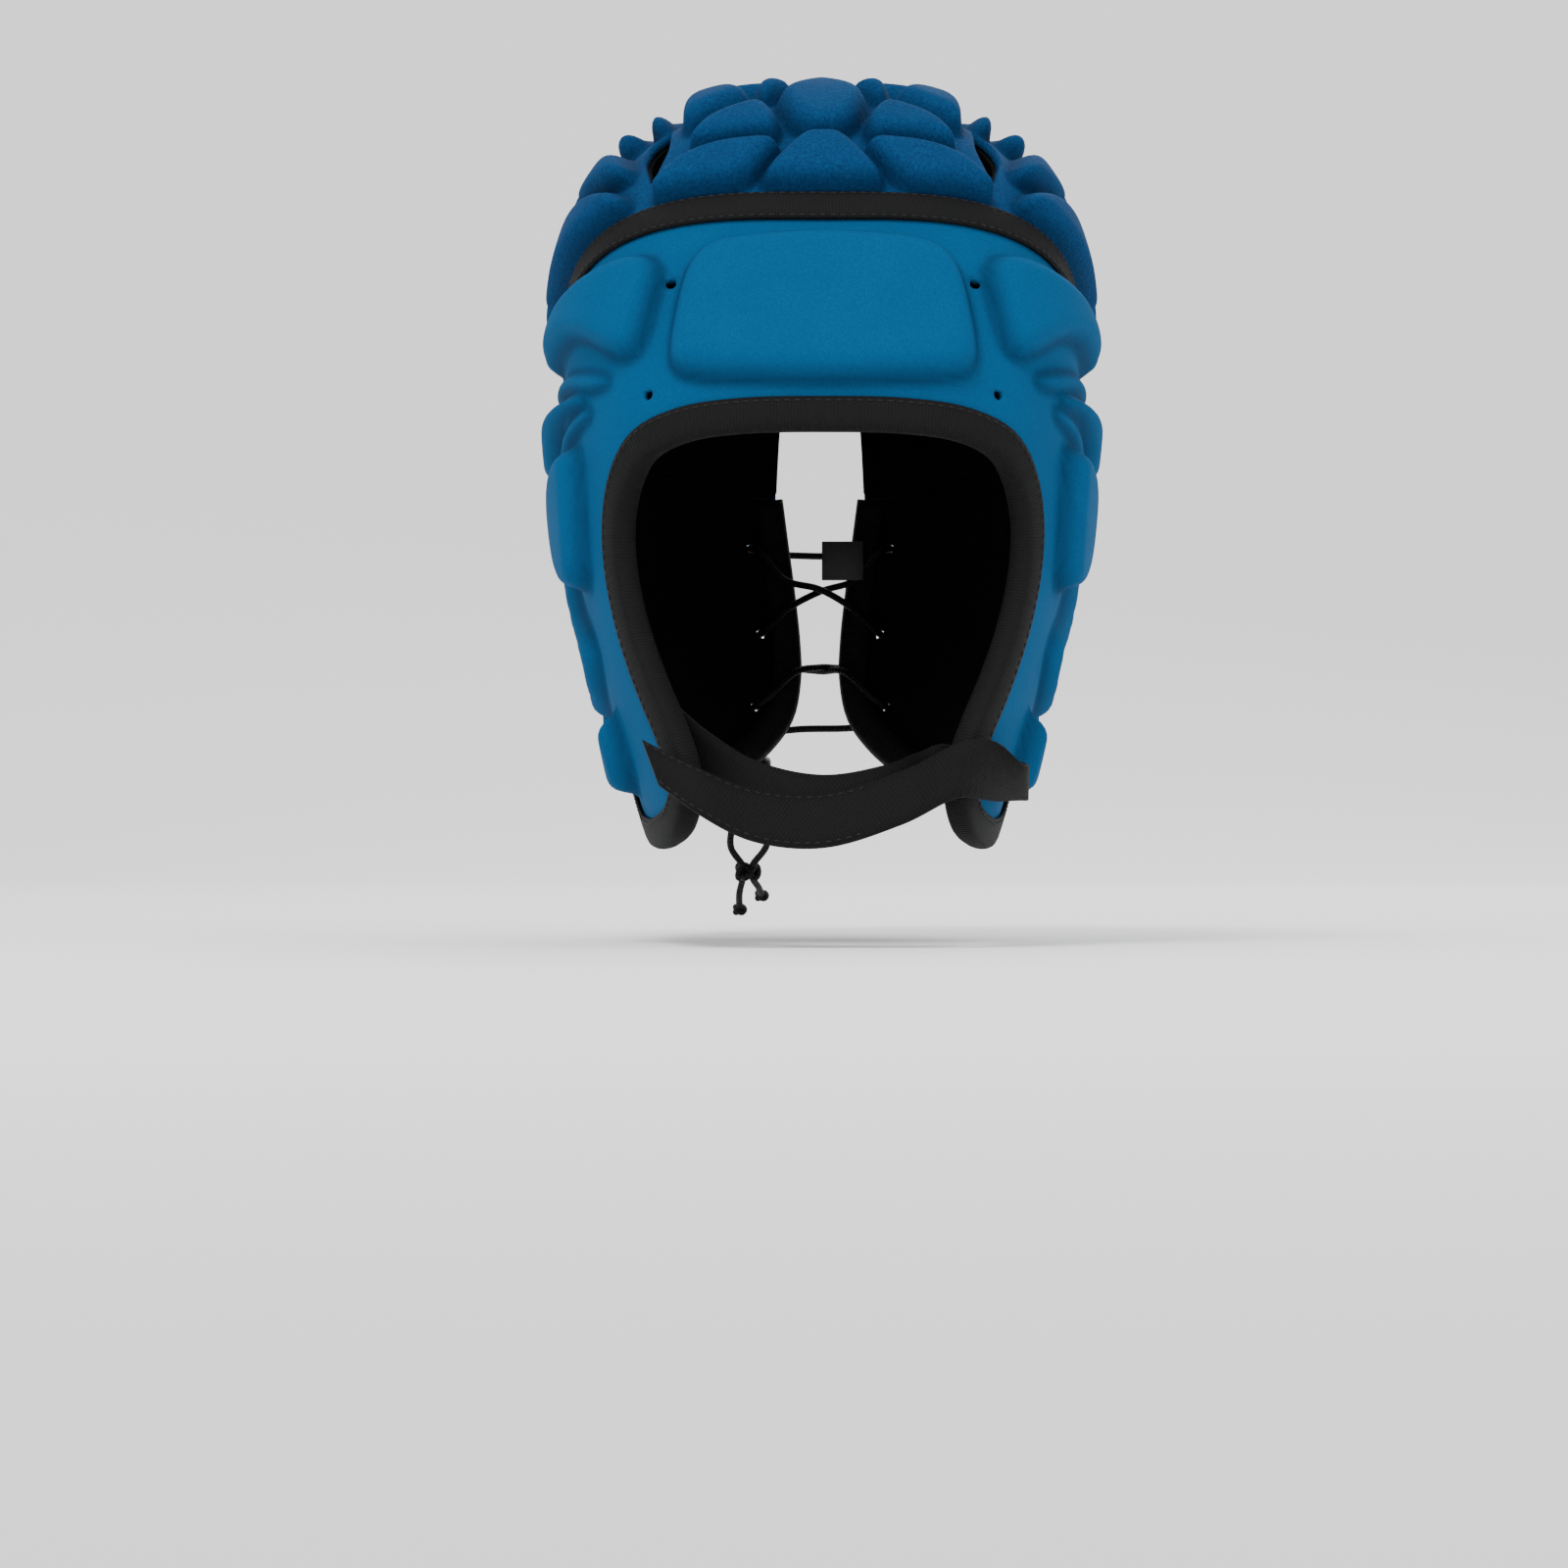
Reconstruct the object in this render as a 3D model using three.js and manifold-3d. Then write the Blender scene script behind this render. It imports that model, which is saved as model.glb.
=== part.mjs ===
// A padded rugby scrum cap: a moulded foam crown and a moulded headband with ear flaps, joined by a tape,
// bound with black tape at every open edge, laced at the back and held by a webbing strap under the chin.
// Millimetres, +Z up. The face looks along -Y and +X is the wearer's left. The origin is on the crown's
// lining, where the top of the head touches it.
import * as THREE from "three";
import { mergeVertices } from "three/addons/utils/BufferGeometryUtils.js";
import Module from "manifold-3d";

const wasm = await Module();
wasm.setup();

// Driving sizes of the shell.
const halfWidth = 88;
const frontReach = 122;
const rearReach = 120;
const capDrop = 256;
const equatorDrop = 100;
const apexForward = 8;
const bandFrontDrop = 35;
const bandSideDrop = 79;
const bandRearDrop = 128;

// Foam, lining and clearances.
const foamWall = 3;
const liningWall = 1.2;
const liningGap = 0.6;
const seamGap = 0.3;
const crownPadHeight = 9.5;
const bandPadHeight = 9;
const stripHeight = 4;
const earPadHeight = 5;
const padBevel = 5.5;
const earBevel = 3;
const padShoulder = 9;
const sideBow = 0.02;
const wideArea = 500;
const ventHoleRadius = 2;
const earHoleRadius = 1.9;

// Tape, binding, strap and lace.
const tapeHalfWidth = 5.8;
const tapeWall = 1.2;
const bindingWidth = 8.5;
const bindingWall = 1;
const bindingGap = 0.6;
const padMargin = bindingWidth + 3;
const rimWidth = tapeHalfWidth + 1.2;
const strapWidth = 20;
const strapWall = 1.6;
const laceRadius = 1.25;
const laceHoleRadius = 2.8;
const laceStep = 6.5;
const boreSteps = 12;
const lockRadius = 6.5;
const lockLength = 17;
const labelWidth = 15;
const labelHeight = 14;
const labelWall = 1;
const edgeStep = 18;

const domeTop = foamWall + liningGap + liningWall;
const domeHeight = domeTop + equatorDrop;
const liningOuter = -foamWall - liningGap;
const liningInner = liningOuter - liningWall;

// The shell's horizontal sections: drop is a share of capDrop, and side, front and rear are shares of
// halfWidth, frontReach and rearReach.
const sections = [
  { drop: 0.0, side: 1.0, front: 0.71, rear: 0.52 },
  { drop: 0.05, side: 1.0, front: 0.74, rear: 0.56 },
  { drop: 0.11, side: 1.0, front: 0.775, rear: 0.66 },
  { drop: 0.175, side: 1.0, front: 0.805, rear: 0.78 },
  { drop: 0.235, side: 1.0, front: 0.85, rear: 0.89 },
  { drop: 0.295, side: 1.0, front: 0.9, rear: 0.96 },
  { drop: 0.39, side: 0.998, front: 0.995, rear: 1.0 },
  { drop: 0.545, side: 0.97, front: 1.05, rear: 0.98 },
  { drop: 0.645, side: 0.93, front: 1.08, rear: 0.945 },
  { drop: 0.76, side: 0.85, front: 1.12, rear: 0.885 },
  { drop: 0.88, side: 0.74, front: 1.16, rear: 0.81 },
  { drop: 1.0, side: 0.64, front: 1.2, rear: 0.71 },
];

// The crown's pads on its right half. x and y are shares of the way from the apex to the band, y towards
// the back. A pad that crosses the middle has only its right half here.
const crownPads = [
  { name: "brow", middle: true, at: [
    [0, -0.665], [0.08, -0.665], [0.25, -0.875], [0.12, -0.91], [0, -0.915],
  ] },
  { name: "browSide", at: [[0.135, -0.69], [0.43, -0.595], [0.6, -0.69], [0.455, -0.795], [0.31, -0.86]] },
  { name: "temple", at: [[0.2, -0.36], [0.165, -0.55], [0.2, -0.64], [0.44, -0.545], [0.34, -0.41]] },
  { name: "diamond", middle: true, at: [
    [0, -0.06], [0.15, -0.28], [0.125, -0.53], [0.05, -0.625], [0, -0.63],
  ] },
  { name: "wedge", at: [[0.045, -0.055], [0.125, -0.055], [0.165, -0.215]] },
  { name: "arch", at: [[0.155, -0.05], [0.25, -0.035], [0.335, -0.205], [0.385, -0.365], [0.205, -0.265]] },
  { name: "bow", at: [[0.02, 0.03], [0.155, 0.12], [0.255, 0.085], [0.25, 0.005], [0.11, -0.005]] },
  { name: "inner", at: [
    [0.12, 0.21], [0.185, 0.155], [0.29, 0.105], [0.3, 0.03], [0.345, -0.02], [0.36, 0.04],
    [0.31, 0.135], [0.16, 0.26],
  ] },
  { name: "top", at: [
    [0.18, 0.29], [0.345, 0.135], [0.4, 0.02], [0.435, -0.1], [0.5, -0.07], [0.425, 0.13], [0.3, 0.25],
  ] },
  { name: "dart", at: [[0.52, -0.11], [0.525, -0.2], [0.595, -0.49], [0.7, -0.04]] },
  { name: "kite", at: [[0.46, 0.14], [0.535, -0.035], [0.69, 0.025], [0.64, 0.155]] },
  { name: "blade", at: [
    [0.745, 0.03], [0.645, -0.5], [0.655, -0.64], [0.79, -0.49], [0.88, -0.3], [0.93, -0.06],
    [0.93, 0.03],
  ] },
  { name: "gem", at: [[0.335, 0.265], [0.44, 0.175], [0.61, 0.2], [0.495, 0.325]] },
  { name: "leaf", at: [[0.515, 0.365], [0.64, 0.24], [0.715, 0.31], [0.745, 0.46], [0.65, 0.41]] },
  { name: "flank", at: [
    [0.675, 0.205], [0.74, 0.085], [0.925, 0.085], [0.875, 0.31], [0.795, 0.48], [0.77, 0.45],
    [0.755, 0.3],
  ] },
  { name: "bridge", at: [[0.17, 0.36], [0.3, 0.3], [0.45, 0.36], [0.415, 0.42], [0.22, 0.43]] },
  { name: "shield", at: [[0.13, 0.47], [0.4, 0.465], [0.405, 0.53], [0.27, 0.6], [0.185, 0.63]] },
  { name: "fin", at: [[0.3, 0.635], [0.44, 0.59], [0.635, 0.585], [0.39, 0.7]] },
  { name: "keel", at: [[0.425, 0.745], [0.755, 0.54], [0.645, 0.67], [0.515, 0.775]] },
  { name: "sliver", at: [[0.2, 0.665], [0.26, 0.64], [0.345, 0.71], [0.33, 0.725]] },
  { name: "spur", at: [[0.2, 0.705], [0.33, 0.76], [0.165, 0.805]] },
  { name: "bead", at: [[0.03, 0.41], [0.08, 0.4], [0.105, 0.46], [0.15, 0.6], [0.085, 0.575], [0.03, 0.53]] },
  { name: "petal", at: [[0.025, 0.575], [0.085, 0.615], [0.155, 0.66], [0.125, 0.77], [0.03, 0.69]] },
  { name: "nape", at: [[0.165, 0.85], [0.38, 0.775], [0.465, 0.805], [0.29, 0.88], [0.165, 0.91]] },
];

// Openings of the crown's right half, in the same shares.
const slitVent = [[0.34, -0.09], [0.45, -0.19], [0.52, -0.33], [0.575, -0.6], [0.455, -0.4], [0.385, -0.21]];
const sideVent = [[0.47, 0.415], [0.625, 0.44], [0.7, 0.52], [0.45, 0.545]];
const topVent = { y: 0.295, halfWidth: 0.075, halfLength: 0.06, sides: 12 };
const napeGap = [[0.13, 1.0], [0.105, 0.84], [0, 0.715]];

// The headband's relief on its right half. turn is degrees from the front, and fall is the share of the
// way from the band down to capDrop.
const bandPads = [
  { name: "forehead", middle: true, height: bandPadHeight, at: [
    [0, 0.05], [22, 0.062], [25.5, 0.1], [24.5, 0.235], [21.5, 0.265], [0, 0.27],
  ] },
  { name: "temple", height: bandPadHeight, at: [
    [31.5, 0.07], [50, 0.068], [72, 0.068], [86, 0.08], [70, 0.108], [48, 0.155], [34, 0.225],
    [31, 0.215],
  ] },
  { name: "upperStrip", height: stripHeight, at: [
    [36, 0.255], [62, 0.185], [84, 0.135], [80, 0.16], [57, 0.215], [42, 0.257],
  ] },
  { name: "swoosh", height: bandPadHeight, at: [
    [102, 0.13], [81, 0.185], [60, 0.235], [42, 0.272], [58, 0.262], [70, 0.26], [89, 0.283],
  ] },
  { name: "lowerStrip", height: stripHeight, at: [
    [85, 0.32], [68, 0.293], [54, 0.286], [42, 0.292], [47, 0.302], [64, 0.312], [81, 0.333],
  ] },
  { name: "cheek", height: bandPadHeight, at: [
    [80, 0.36], [64, 0.338], [47, 0.332], [45.5, 0.44], [46, 0.555], [55, 0.545], [67, 0.485],
  ] },
  { name: "ear", height: earPadHeight, bevel: earBevel, at: [
    [95, 0.39], [100, 0.48], [97, 0.6], [90, 0.69], [74, 0.742], [57, 0.715], [49, 0.65], [66, 0.56],
    [80, 0.46],
  ] },
  { name: "behindEar", height: bandPadHeight, at: [
    [150, 0.085], [135, 0.068], [119, 0.068], [111, 0.16], [103, 0.33], [112, 0.42], [112, 0.54],
    [105, 0.675], [114, 0.62], [123, 0.47], [128, 0.36], [133, 0.26], [141, 0.16],
  ] },
  { name: "jaw", height: bandPadHeight, at: [
    [127.5, 0.5], [119, 0.66], [102, 0.772], [76, 0.83], [55, 0.81], [46, 0.755], [43.5, 0.8],
    [43, 0.85], [46, 0.88], [56, 0.875], [86, 0.835], [110, 0.825], [128, 0.81], [132, 0.66],
    [132, 0.56],
  ] },
  { name: "oval", height: bandPadHeight, at: [
    [159, 0.1], [150, 0.135], [141, 0.2], [135, 0.29], [130, 0.42], [136, 0.52], [138, 0.65],
    [136, 0.79], [145, 0.755], [147, 0.66], [152, 0.55], [156, 0.45], [160, 0.31], [161.5, 0.16],
  ] },
];

// The headband's edge on the right, from the middle of the forehead to the chin tab, and from the tab
// along the bottom and up the back.
const faceEdge = [
  [0, 0.335], [13, 0.338], [22, 0.35], [29, 0.378], [33, 0.43], [34.5, 0.49], [34, 0.56], [31.5, 0.64],
  [27.5, 0.72], [23.5, 0.79], [21, 0.85],
];
const backEdge = [
  [21, 0.9], [24, 0.944], [31, 0.964], [42, 0.962], [55, 0.948], [70, 0.91], [86, 0.888], [108, 0.878], [128, 0.862],
  [142, 0.84], [153, 0.805], [162, 0.755], [168.5, 0.69], [173, 0.61], [174.8, 0.5], [174.8, 0.4], [174, 0.26],
  [173, 0.13], [172, 0.0],
];
const ventHoles = [[28.6, 0.115], [28.2, 0.287], [92, 0.1], [92, 0.325]];
const earHoles = [
  [89, 0.475], [81, 0.525], [72, 0.57], [87, 0.55], [65, 0.615], [59, 0.66], [76, 0.62], [88, 0.63],
  [66, 0.68], [82, 0.68], [74, 0.694],
];
const laceRows = [0.125, 0.37, 0.64];
const laceHoleInset = bindingWidth + 3.8;

// Value of a column of the sections at a drop, smooth through the rows.
function sectionAt(drop, column) {
  const last = sections.length - 1;
  let i = 0;
  while (i < last - 1 && drop > sections[i + 1].drop) i++;
  const slope = (k) => {
    const a = sections[Math.max(k - 1, 0)];
    const b = sections[Math.min(k + 1, last)];
    return (b[column] - a[column]) / (b.drop - a.drop);
  };
  const [a, b] = [sections[i], sections[i + 1]];
  const span = b.drop - a.drop;
  const t = THREE.MathUtils.clamp((drop - a.drop) / span, 0, 1);
  const [t2, t3] = [t * t, t * t * t];
  return (
    (2 * t3 - 3 * t2 + 1) * a[column] + (t3 - 2 * t2 + t) * span * slope(i) +
    (3 * t2 - 2 * t3) * b[column] + (t3 - t2) * span * slope(i + 1)
  );
}

// A point of the shell's outer face between its pads. turn is radians from the front.
function shellPoint(turn, z) {
  const rise = THREE.MathUtils.clamp((z + equatorDrop) / domeHeight, 0, 1);
  const [s, c] = [Math.abs(Math.sin(turn)), Math.abs(Math.cos(turn))];
  const roundness = 2.2 + 0.5 * s * s;
  const close = Math.pow(Math.max(1 - Math.pow(rise, roundness), 0), 1 / roundness);
  const drop = -z / capDrop;
  const atFront = Math.cos(turn) > 0;
  const squareness = atFront ? 3 : 2.3;
  const reach = atFront ? frontReach * sectionAt(drop, "front") : rearReach * sectionAt(drop, "rear");
  const side = halfWidth * sectionAt(drop, "side");
  const radius = close / Math.pow(Math.pow(s / side, squareness) + Math.pow(c / reach, squareness), 1 / squareness);
  const centre = -apexForward * Math.pow(rise, 1.5);
  return new THREE.Vector3(radius * Math.sin(turn), centre - radius * Math.cos(turn), z);
}

// Height of the band's seam at a given y: a curve through its front, side and rear heights.
const seamStops = [
  { y: -0.7 * frontReach, z: -bandFrontDrop },
  { y: 0.02 * frontReach, z: -bandSideDrop },
  { y: rearReach, z: -bandRearDrop },
];
function seamHeight(y) {
  return seamStops.reduce((sum, stop, i) => {
    const others = seamStops.filter((_, k) => k !== i);
    return sum + others.reduce((product, other) => (product * (y - other.y)) / (stop.y - other.y), stop.z);
  }, 0);
}

// The angle down from the apex, as a height on the shell. Past the equator it goes straight down.
function heightOfAngle(angle) {
  const quarter = Math.PI / 2;
  return angle < quarter ? domeHeight * Math.cos(angle) - equatorDrop : -equatorDrop - (angle - quarter) * domeHeight;
}

function findSeamAngle(turn) {
  let [low, high] = [0.05, 2.6];
  for (let i = 0; i < 40; i++) {
    const middle = (low + high) / 2;
    const p = shellPoint(turn, heightOfAngle(middle));
    if (p.z > seamHeight(p.y)) low = middle;
    else high = middle;
  }
  return (low + high) / 2;
}

// The seam's angle at every degree of half a turn, and between them by a straight line.
const seamAngles = [];
for (let degree = 0; degree <= 181; degree++) seamAngles.push(findSeamAngle(THREE.MathUtils.degToRad(degree)));
function seamAngle(turn) {
  const around = THREE.MathUtils.euclideanModulo(turn, 2 * Math.PI);
  const degrees = THREE.MathUtils.radToDeg(Math.min(around, 2 * Math.PI - around));
  const whole = Math.floor(degrees);
  return THREE.MathUtils.lerp(seamAngles[whole], seamAngles[whole + 1], degrees - whole);
}

// The two charts: flat coordinates to a point on the shell.
function crownChart(x, y) {
  const turn = Math.atan2(x, -y);
  return shellPoint(turn, heightOfAngle(Math.max(Math.hypot(x, y), 1e-4) * seamAngle(turn)));
}
function bandChart(degrees, fall) {
  const turn = THREE.MathUtils.degToRad(degrees);
  const top = heightOfAngle(seamAngle(turn));
  return shellPoint(turn, top - fall * (capDrop + top));
}

// Tangents of a chart at (u, v), by small steps of about a tenth of a millimetre.
function tangents(chart, u, v) {
  const [eu, ev] = chart === crownChart ? [0.002, 0.002] : [0.1, 0.001];
  const du = chart(u + eu, v).sub(chart(u - eu, v)).divideScalar(2 * eu);
  const dv = chart(u, v + ev).sub(chart(u, v - ev)).divideScalar(2 * ev);
  return [du, dv];
}
function outward(chart, u, v) {
  const [du, dv] = tangents(chart, u, v);
  const normal = du.cross(dv).normalize();
  const p = chart(u, v);
  const fromAxis = new THREE.Vector3(p.x, p.y, chart === crownChart ? p.z + equatorDrop : 0);
  return normal.dot(fromAxis) < 0 ? normal.negate() : normal;
}
function lifted(chart, [u, v], height) {
  return chart(u, v).addScaledVector(outward(chart, u, v), height);
}

// Moves a chart point by a vector along the shell.
function slide(chart, point, vector) {
  const [du, dv] = tangents(chart, point[0], point[1]);
  const [uu, uv, vv] = [du.dot(du), du.dot(dv), dv.dot(dv)];
  const [ru, rv] = [du.dot(vector), dv.dot(vector)];
  const determinant = uu * vv - uv * uv;
  return [point[0] + (ru * vv - rv * uv) / determinant, point[1] + (rv * uu - ru * uv) / determinant];
}

// Moves a chart point by a distance along the shell, square to the direction from a to b.
function slideAcross(chart, point, a, b, distance) {
  const [du, dv] = tangents(chart, point[0], point[1]);
  const along = du.clone().multiplyScalar(b[0] - a[0]).addScaledVector(dv, b[1] - a[1]).normalize();
  const across = outward(chart, point[0], point[1]).cross(along).normalize();
  return slide(chart, point, across.multiplyScalar(distance));
}

// Moves a chart point away from a line of the same chart where it is nearer than the margin.
function keptClear(chart, point, line, margin) {
  const corners = line.map((q) => chart(q[0], q[1]));
  const p = chart(point[0], point[1]);
  const [nearest, best] = [new THREE.Vector3(), new THREE.Vector3()];
  let least = Infinity;
  for (let i = 0; i + 1 < corners.length; i++) {
    new THREE.Line3(corners[i], corners[i + 1]).closestPointToPoint(p, true, nearest);
    if (nearest.distanceTo(p) < least) {
      least = nearest.distanceTo(p);
      best.copy(nearest);
    }
  }
  return least < margin ? slide(chart, point, p.clone().sub(best).setLength(margin - least)) : point;
}

// The direction inwards at a corner of a closed loop, in chart units a millimetre, and how much further a
// corner moves than its sides do.
function inwardAt(chart, loop, i) {
  const point = loop[i];
  const a = slideAcross(chart, point, loop[(i + loop.length - 1) % loop.length], point, 1);
  const b = slideAcross(chart, point, point, loop[(i + 1) % loop.length], 1);
  const [du, dv] = tangents(chart, point[0], point[1]);
  const step = (u, v) => du.clone().multiplyScalar(u).addScaledVector(dv, v);
  const half = step(a[0] - point[0], a[1] - point[1]).angleTo(step(b[0] - point[0], b[1] - point[1])) / 2;
  const middle = [(a[0] + b[0]) / 2 - point[0], (a[1] + b[1]) / 2 - point[1]];
  const size = step(...middle).length();
  return { along: [middle[0] / size, middle[1] / size], mitre: Math.min(1 / Math.cos(half), 1.7) };
}

// How far a chart point is from the nearest side of a loop.
function clearance(chart, corners, point) {
  const p = chart(point[0], point[1]);
  const nearest = new THREE.Vector3();
  return corners.reduce((least, corner, i) => {
    const side = new THREE.Line3(corner, corners[(i + 1) % corners.length]);
    return Math.min(least, side.closestPointToPoint(p, true, nearest).distanceTo(p));
  }, Infinity);
}

function insetLoop(chart, loop, distance) {
  return loop.map((point, i) => {
    const { along, mitre } = inwardAt(chart, loop, i);
    return [point[0] + along[0] * mitre * distance, point[1] + along[1] * mitre * distance];
  });
}

// The loop a pad's top starts at: each corner moves in as far as the bevel and the pad's width allow.
function shoulderLoop(chart, loop, bevel) {
  const corners = loop.map((point) => chart(point[0], point[1]));
  return loop.map((point, i) => {
    const { along, mitre } = inwardAt(chart, loop, i);
    let best = point;
    for (let share = 1; share > 0.05; share -= 0.08) {
      const distance = bevel * share;
      const reach = mitre * distance;
      best = [point[0] + along[0] * reach, point[1] + along[1] * reach];
      if (clearance(chart, corners, best) > 0.9 * distance && shared(distance)) return best;
    }
    function shared(distance) {
      const further = [point[0] + along[0] * mitre * distance * 1.9, point[1] + along[1] * mitre * distance * 1.9];
      return clearance(chart, corners, further) > 0.75 * distance;
    }
    return best;
  });
}

// A pad's height at a given distance from its edge.
function padRise(height, distance) {
  const share = Math.min(distance / padShoulder, 1);
  return height * (1 - Math.pow(1 - share, 2.2));
}

// Splits the edges of a loop, or of an open line, so that none is longer than the step.
function splitEdges(chart, points, step, closed = true) {
  const out = [];
  const last = closed ? points.length : points.length - 1;
  for (let i = 0; i < last; i++) {
    const [a, b] = [points[i], points[(i + 1) % points.length]];
    const middle = chart((a[0] + b[0]) / 2, (a[1] + b[1]) / 2);
    const length = chart(a[0], a[1]).distanceTo(middle) + middle.distanceTo(chart(b[0], b[1]));
    const parts = Math.max(1, Math.ceil(length / step - 0.2));
    for (let k = 0; k < parts; k++) {
      const t = k / parts;
      const bow = sideBow * 4 * t * (1 - t) * length;
      const flat = [a[0] + (b[0] - a[0]) * t, a[1] + (b[1] - a[1]) * t];
      out.push(k ? slideAcross(chart, flat, a, b, -bow) : flat);
    }
  }
  if (!closed) out.push(points[points.length - 1]);
  return out;
}

// A line of chart points made smooth, at about equal steps.
function smoothLine(chart, points, step) {
  const scale = chart === bandChart ? 100 : 1;
  const curve = new THREE.CatmullRomCurve3(
    points.map(([u, v]) => new THREE.Vector3(u, v * scale, 0)), false, "centripetal");
  const fine = curve.getPoints(points.length * 8).map((p) => [p.x, p.y / scale]);
  const lengths = fine.map((_, i) => (i ? chart(...fine[i]).distanceTo(chart(...fine[i - 1])) : 0));
  const total = lengths.reduce((sum, l) => sum + l, 0);
  const parts = Math.round(total / step);
  const out = [fine[0]];
  let [travelled, next] = [0, 1];
  fine.forEach((p, i) => {
    travelled += lengths[i];
    if (i && next < parts && travelled >= (total * next) / parts) {
      out.push(p);
      next++;
    }
  });
  out.push(fine[fine.length - 1]);
  return out;
}

const mirrorLoop = (loop) => loop.map(([u, v]) => [-u, v]).reverse();
const isAnticlockwise = (loop) =>
  loop.reduce((sum, [u, v], i) => {
    const [nu, nv] = loop[(i + 1) % loop.length];
    return sum + u * nv - nu * v;
  }, 0) > 0;

// Every loop goes the same way round, so that insets go inwards.
function turnedLoop(chart, loop) {
  const inside = insetLoop(chart, loop, 0.5);
  const area = (l) => Math.abs(l.reduce((sum, [u, v], i) => {
    const [nu, nv] = l[(i + 1) % l.length];
    return sum + u * nv - nu * v;
  }, 0));
  return area(inside) < area(loop) ? loop : [...loop].reverse();
}

// Pads of both halves as closed loops.
function bothSides(pads) {
  return pads.flatMap((pad) => {
    if (pad.middle) {
      const left = pad.at.filter(([u]) => u > 0).map(([u, v]) => [-u, v]).reverse();
      return [{ ...pad, at: [...pad.at, ...left] }];
    }
    return [pad, { ...pad, at: mirrorLoop(pad.at) }];
  });
}

const centreOf = (loop) => [
  loop.reduce((sum, p) => sum + p[0], 0) / loop.length,
  loop.reduce((sum, p) => sum + p[1], 0) / loop.length,
];

// True if every corner of the loop is seen from its centre.
function isStar(loop) {
  const [cu, cv] = centreOf(loop);
  const signs = loop.map(([u, v], i) => {
    const [nu, nv] = loop[(i + 1) % loop.length];
    return (u - cu) * (nv - cv) - (nu - cu) * (v - cv) > 0;
  });
  return signs.every((s) => s === signs[0]);
}

// True if a loop goes round a point.
function surrounds(loop, [u, v]) {
  return loop.reduce((inside, [au, av], i) => {
    const [bu, bv] = loop[(i + 1) % loop.length];
    const crosses = av > v !== bv > v && u < au + ((v - av) * (bu - au)) / (bv - av);
    return crosses ? !inside : inside;
  }, false);
}

// Triangles that fill a loop round its holes, all turned one way. The chart is stretched to about
// millimetres first, and a hair's shift of every point keeps the ones that lie in a straight line.
const hair = 0.003;
const crownStretch = [115, 115];
const bandStretch = [1.6, 190];
function fillLoop(chart, loop, holes = []) {
  const stretch = chart === bandChart ? bandStretch : crownStretch;
  let index = 0;
  const flat = (l) => l.map(([u, v]) => {
    index++;
    const shift = [hair * Math.sin(7.3 * index), hair * Math.cos(3.1 * index * index)];
    return new THREE.Vector2(u * stretch[0] + shift[0], v * stretch[1] + shift[1]);
  });
  const contour = flat(loop);
  const openings = holes.map(flat);
  const points = [...contour, ...openings.flat()];
  const triangles = THREE.ShapeUtils.triangulateShape(contour, openings);
  return evened(points, triangles.map((t) => (areaOf(points, t) > 0 ? t : [t[0], t[2], t[1]])));
}
function areaOf(points, [a, b, c]) {
  return points[b].clone().sub(points[a]).cross(points[c].clone().sub(points[a]));
}

// Turns the shared sides of triangles until none of them is the longer way across its two triangles.
function evened(points, triangles) {
  for (let round = 0; round < 40; round++) {
    const owners = new Map();
    triangles.forEach((t, i) => t.forEach((a, k) => owners.set(`${a} ${t[(k + 1) % 3]}`, [i, k])));
    const touched = new Set();
    let turned = 0;
    for (const [key, [i, k]] of owners) {
      const [a, b] = key.split(" ").map(Number);
      const other = owners.get(`${b} ${a}`);
      if (!other || a > b || touched.has(i) || touched.has(other[0])) continue;
      const c = triangles[i][(k + 2) % 3];
      const d = triangles[other[0]][(other[1] + 2) % 3];
      const one = [a, d, c];
      const two = [d, b, c];
      if (areaOf(points, one) < 1e-3 || areaOf(points, two) < 1e-3) continue;
      const angleAt = (p, q, r) => Math.abs(
        points[q].clone().sub(points[p]).angleTo(points[r].clone().sub(points[p])));
      if (angleAt(c, a, b) + angleAt(d, a, b) <= Math.PI + 1e-6) continue;
      triangles[i] = one;
      triangles[other[0]] = two;
      touched.add(i).add(other[0]);
      turned++;
    }
    if (!turned) break;
  }
  return triangles;
}

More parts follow.
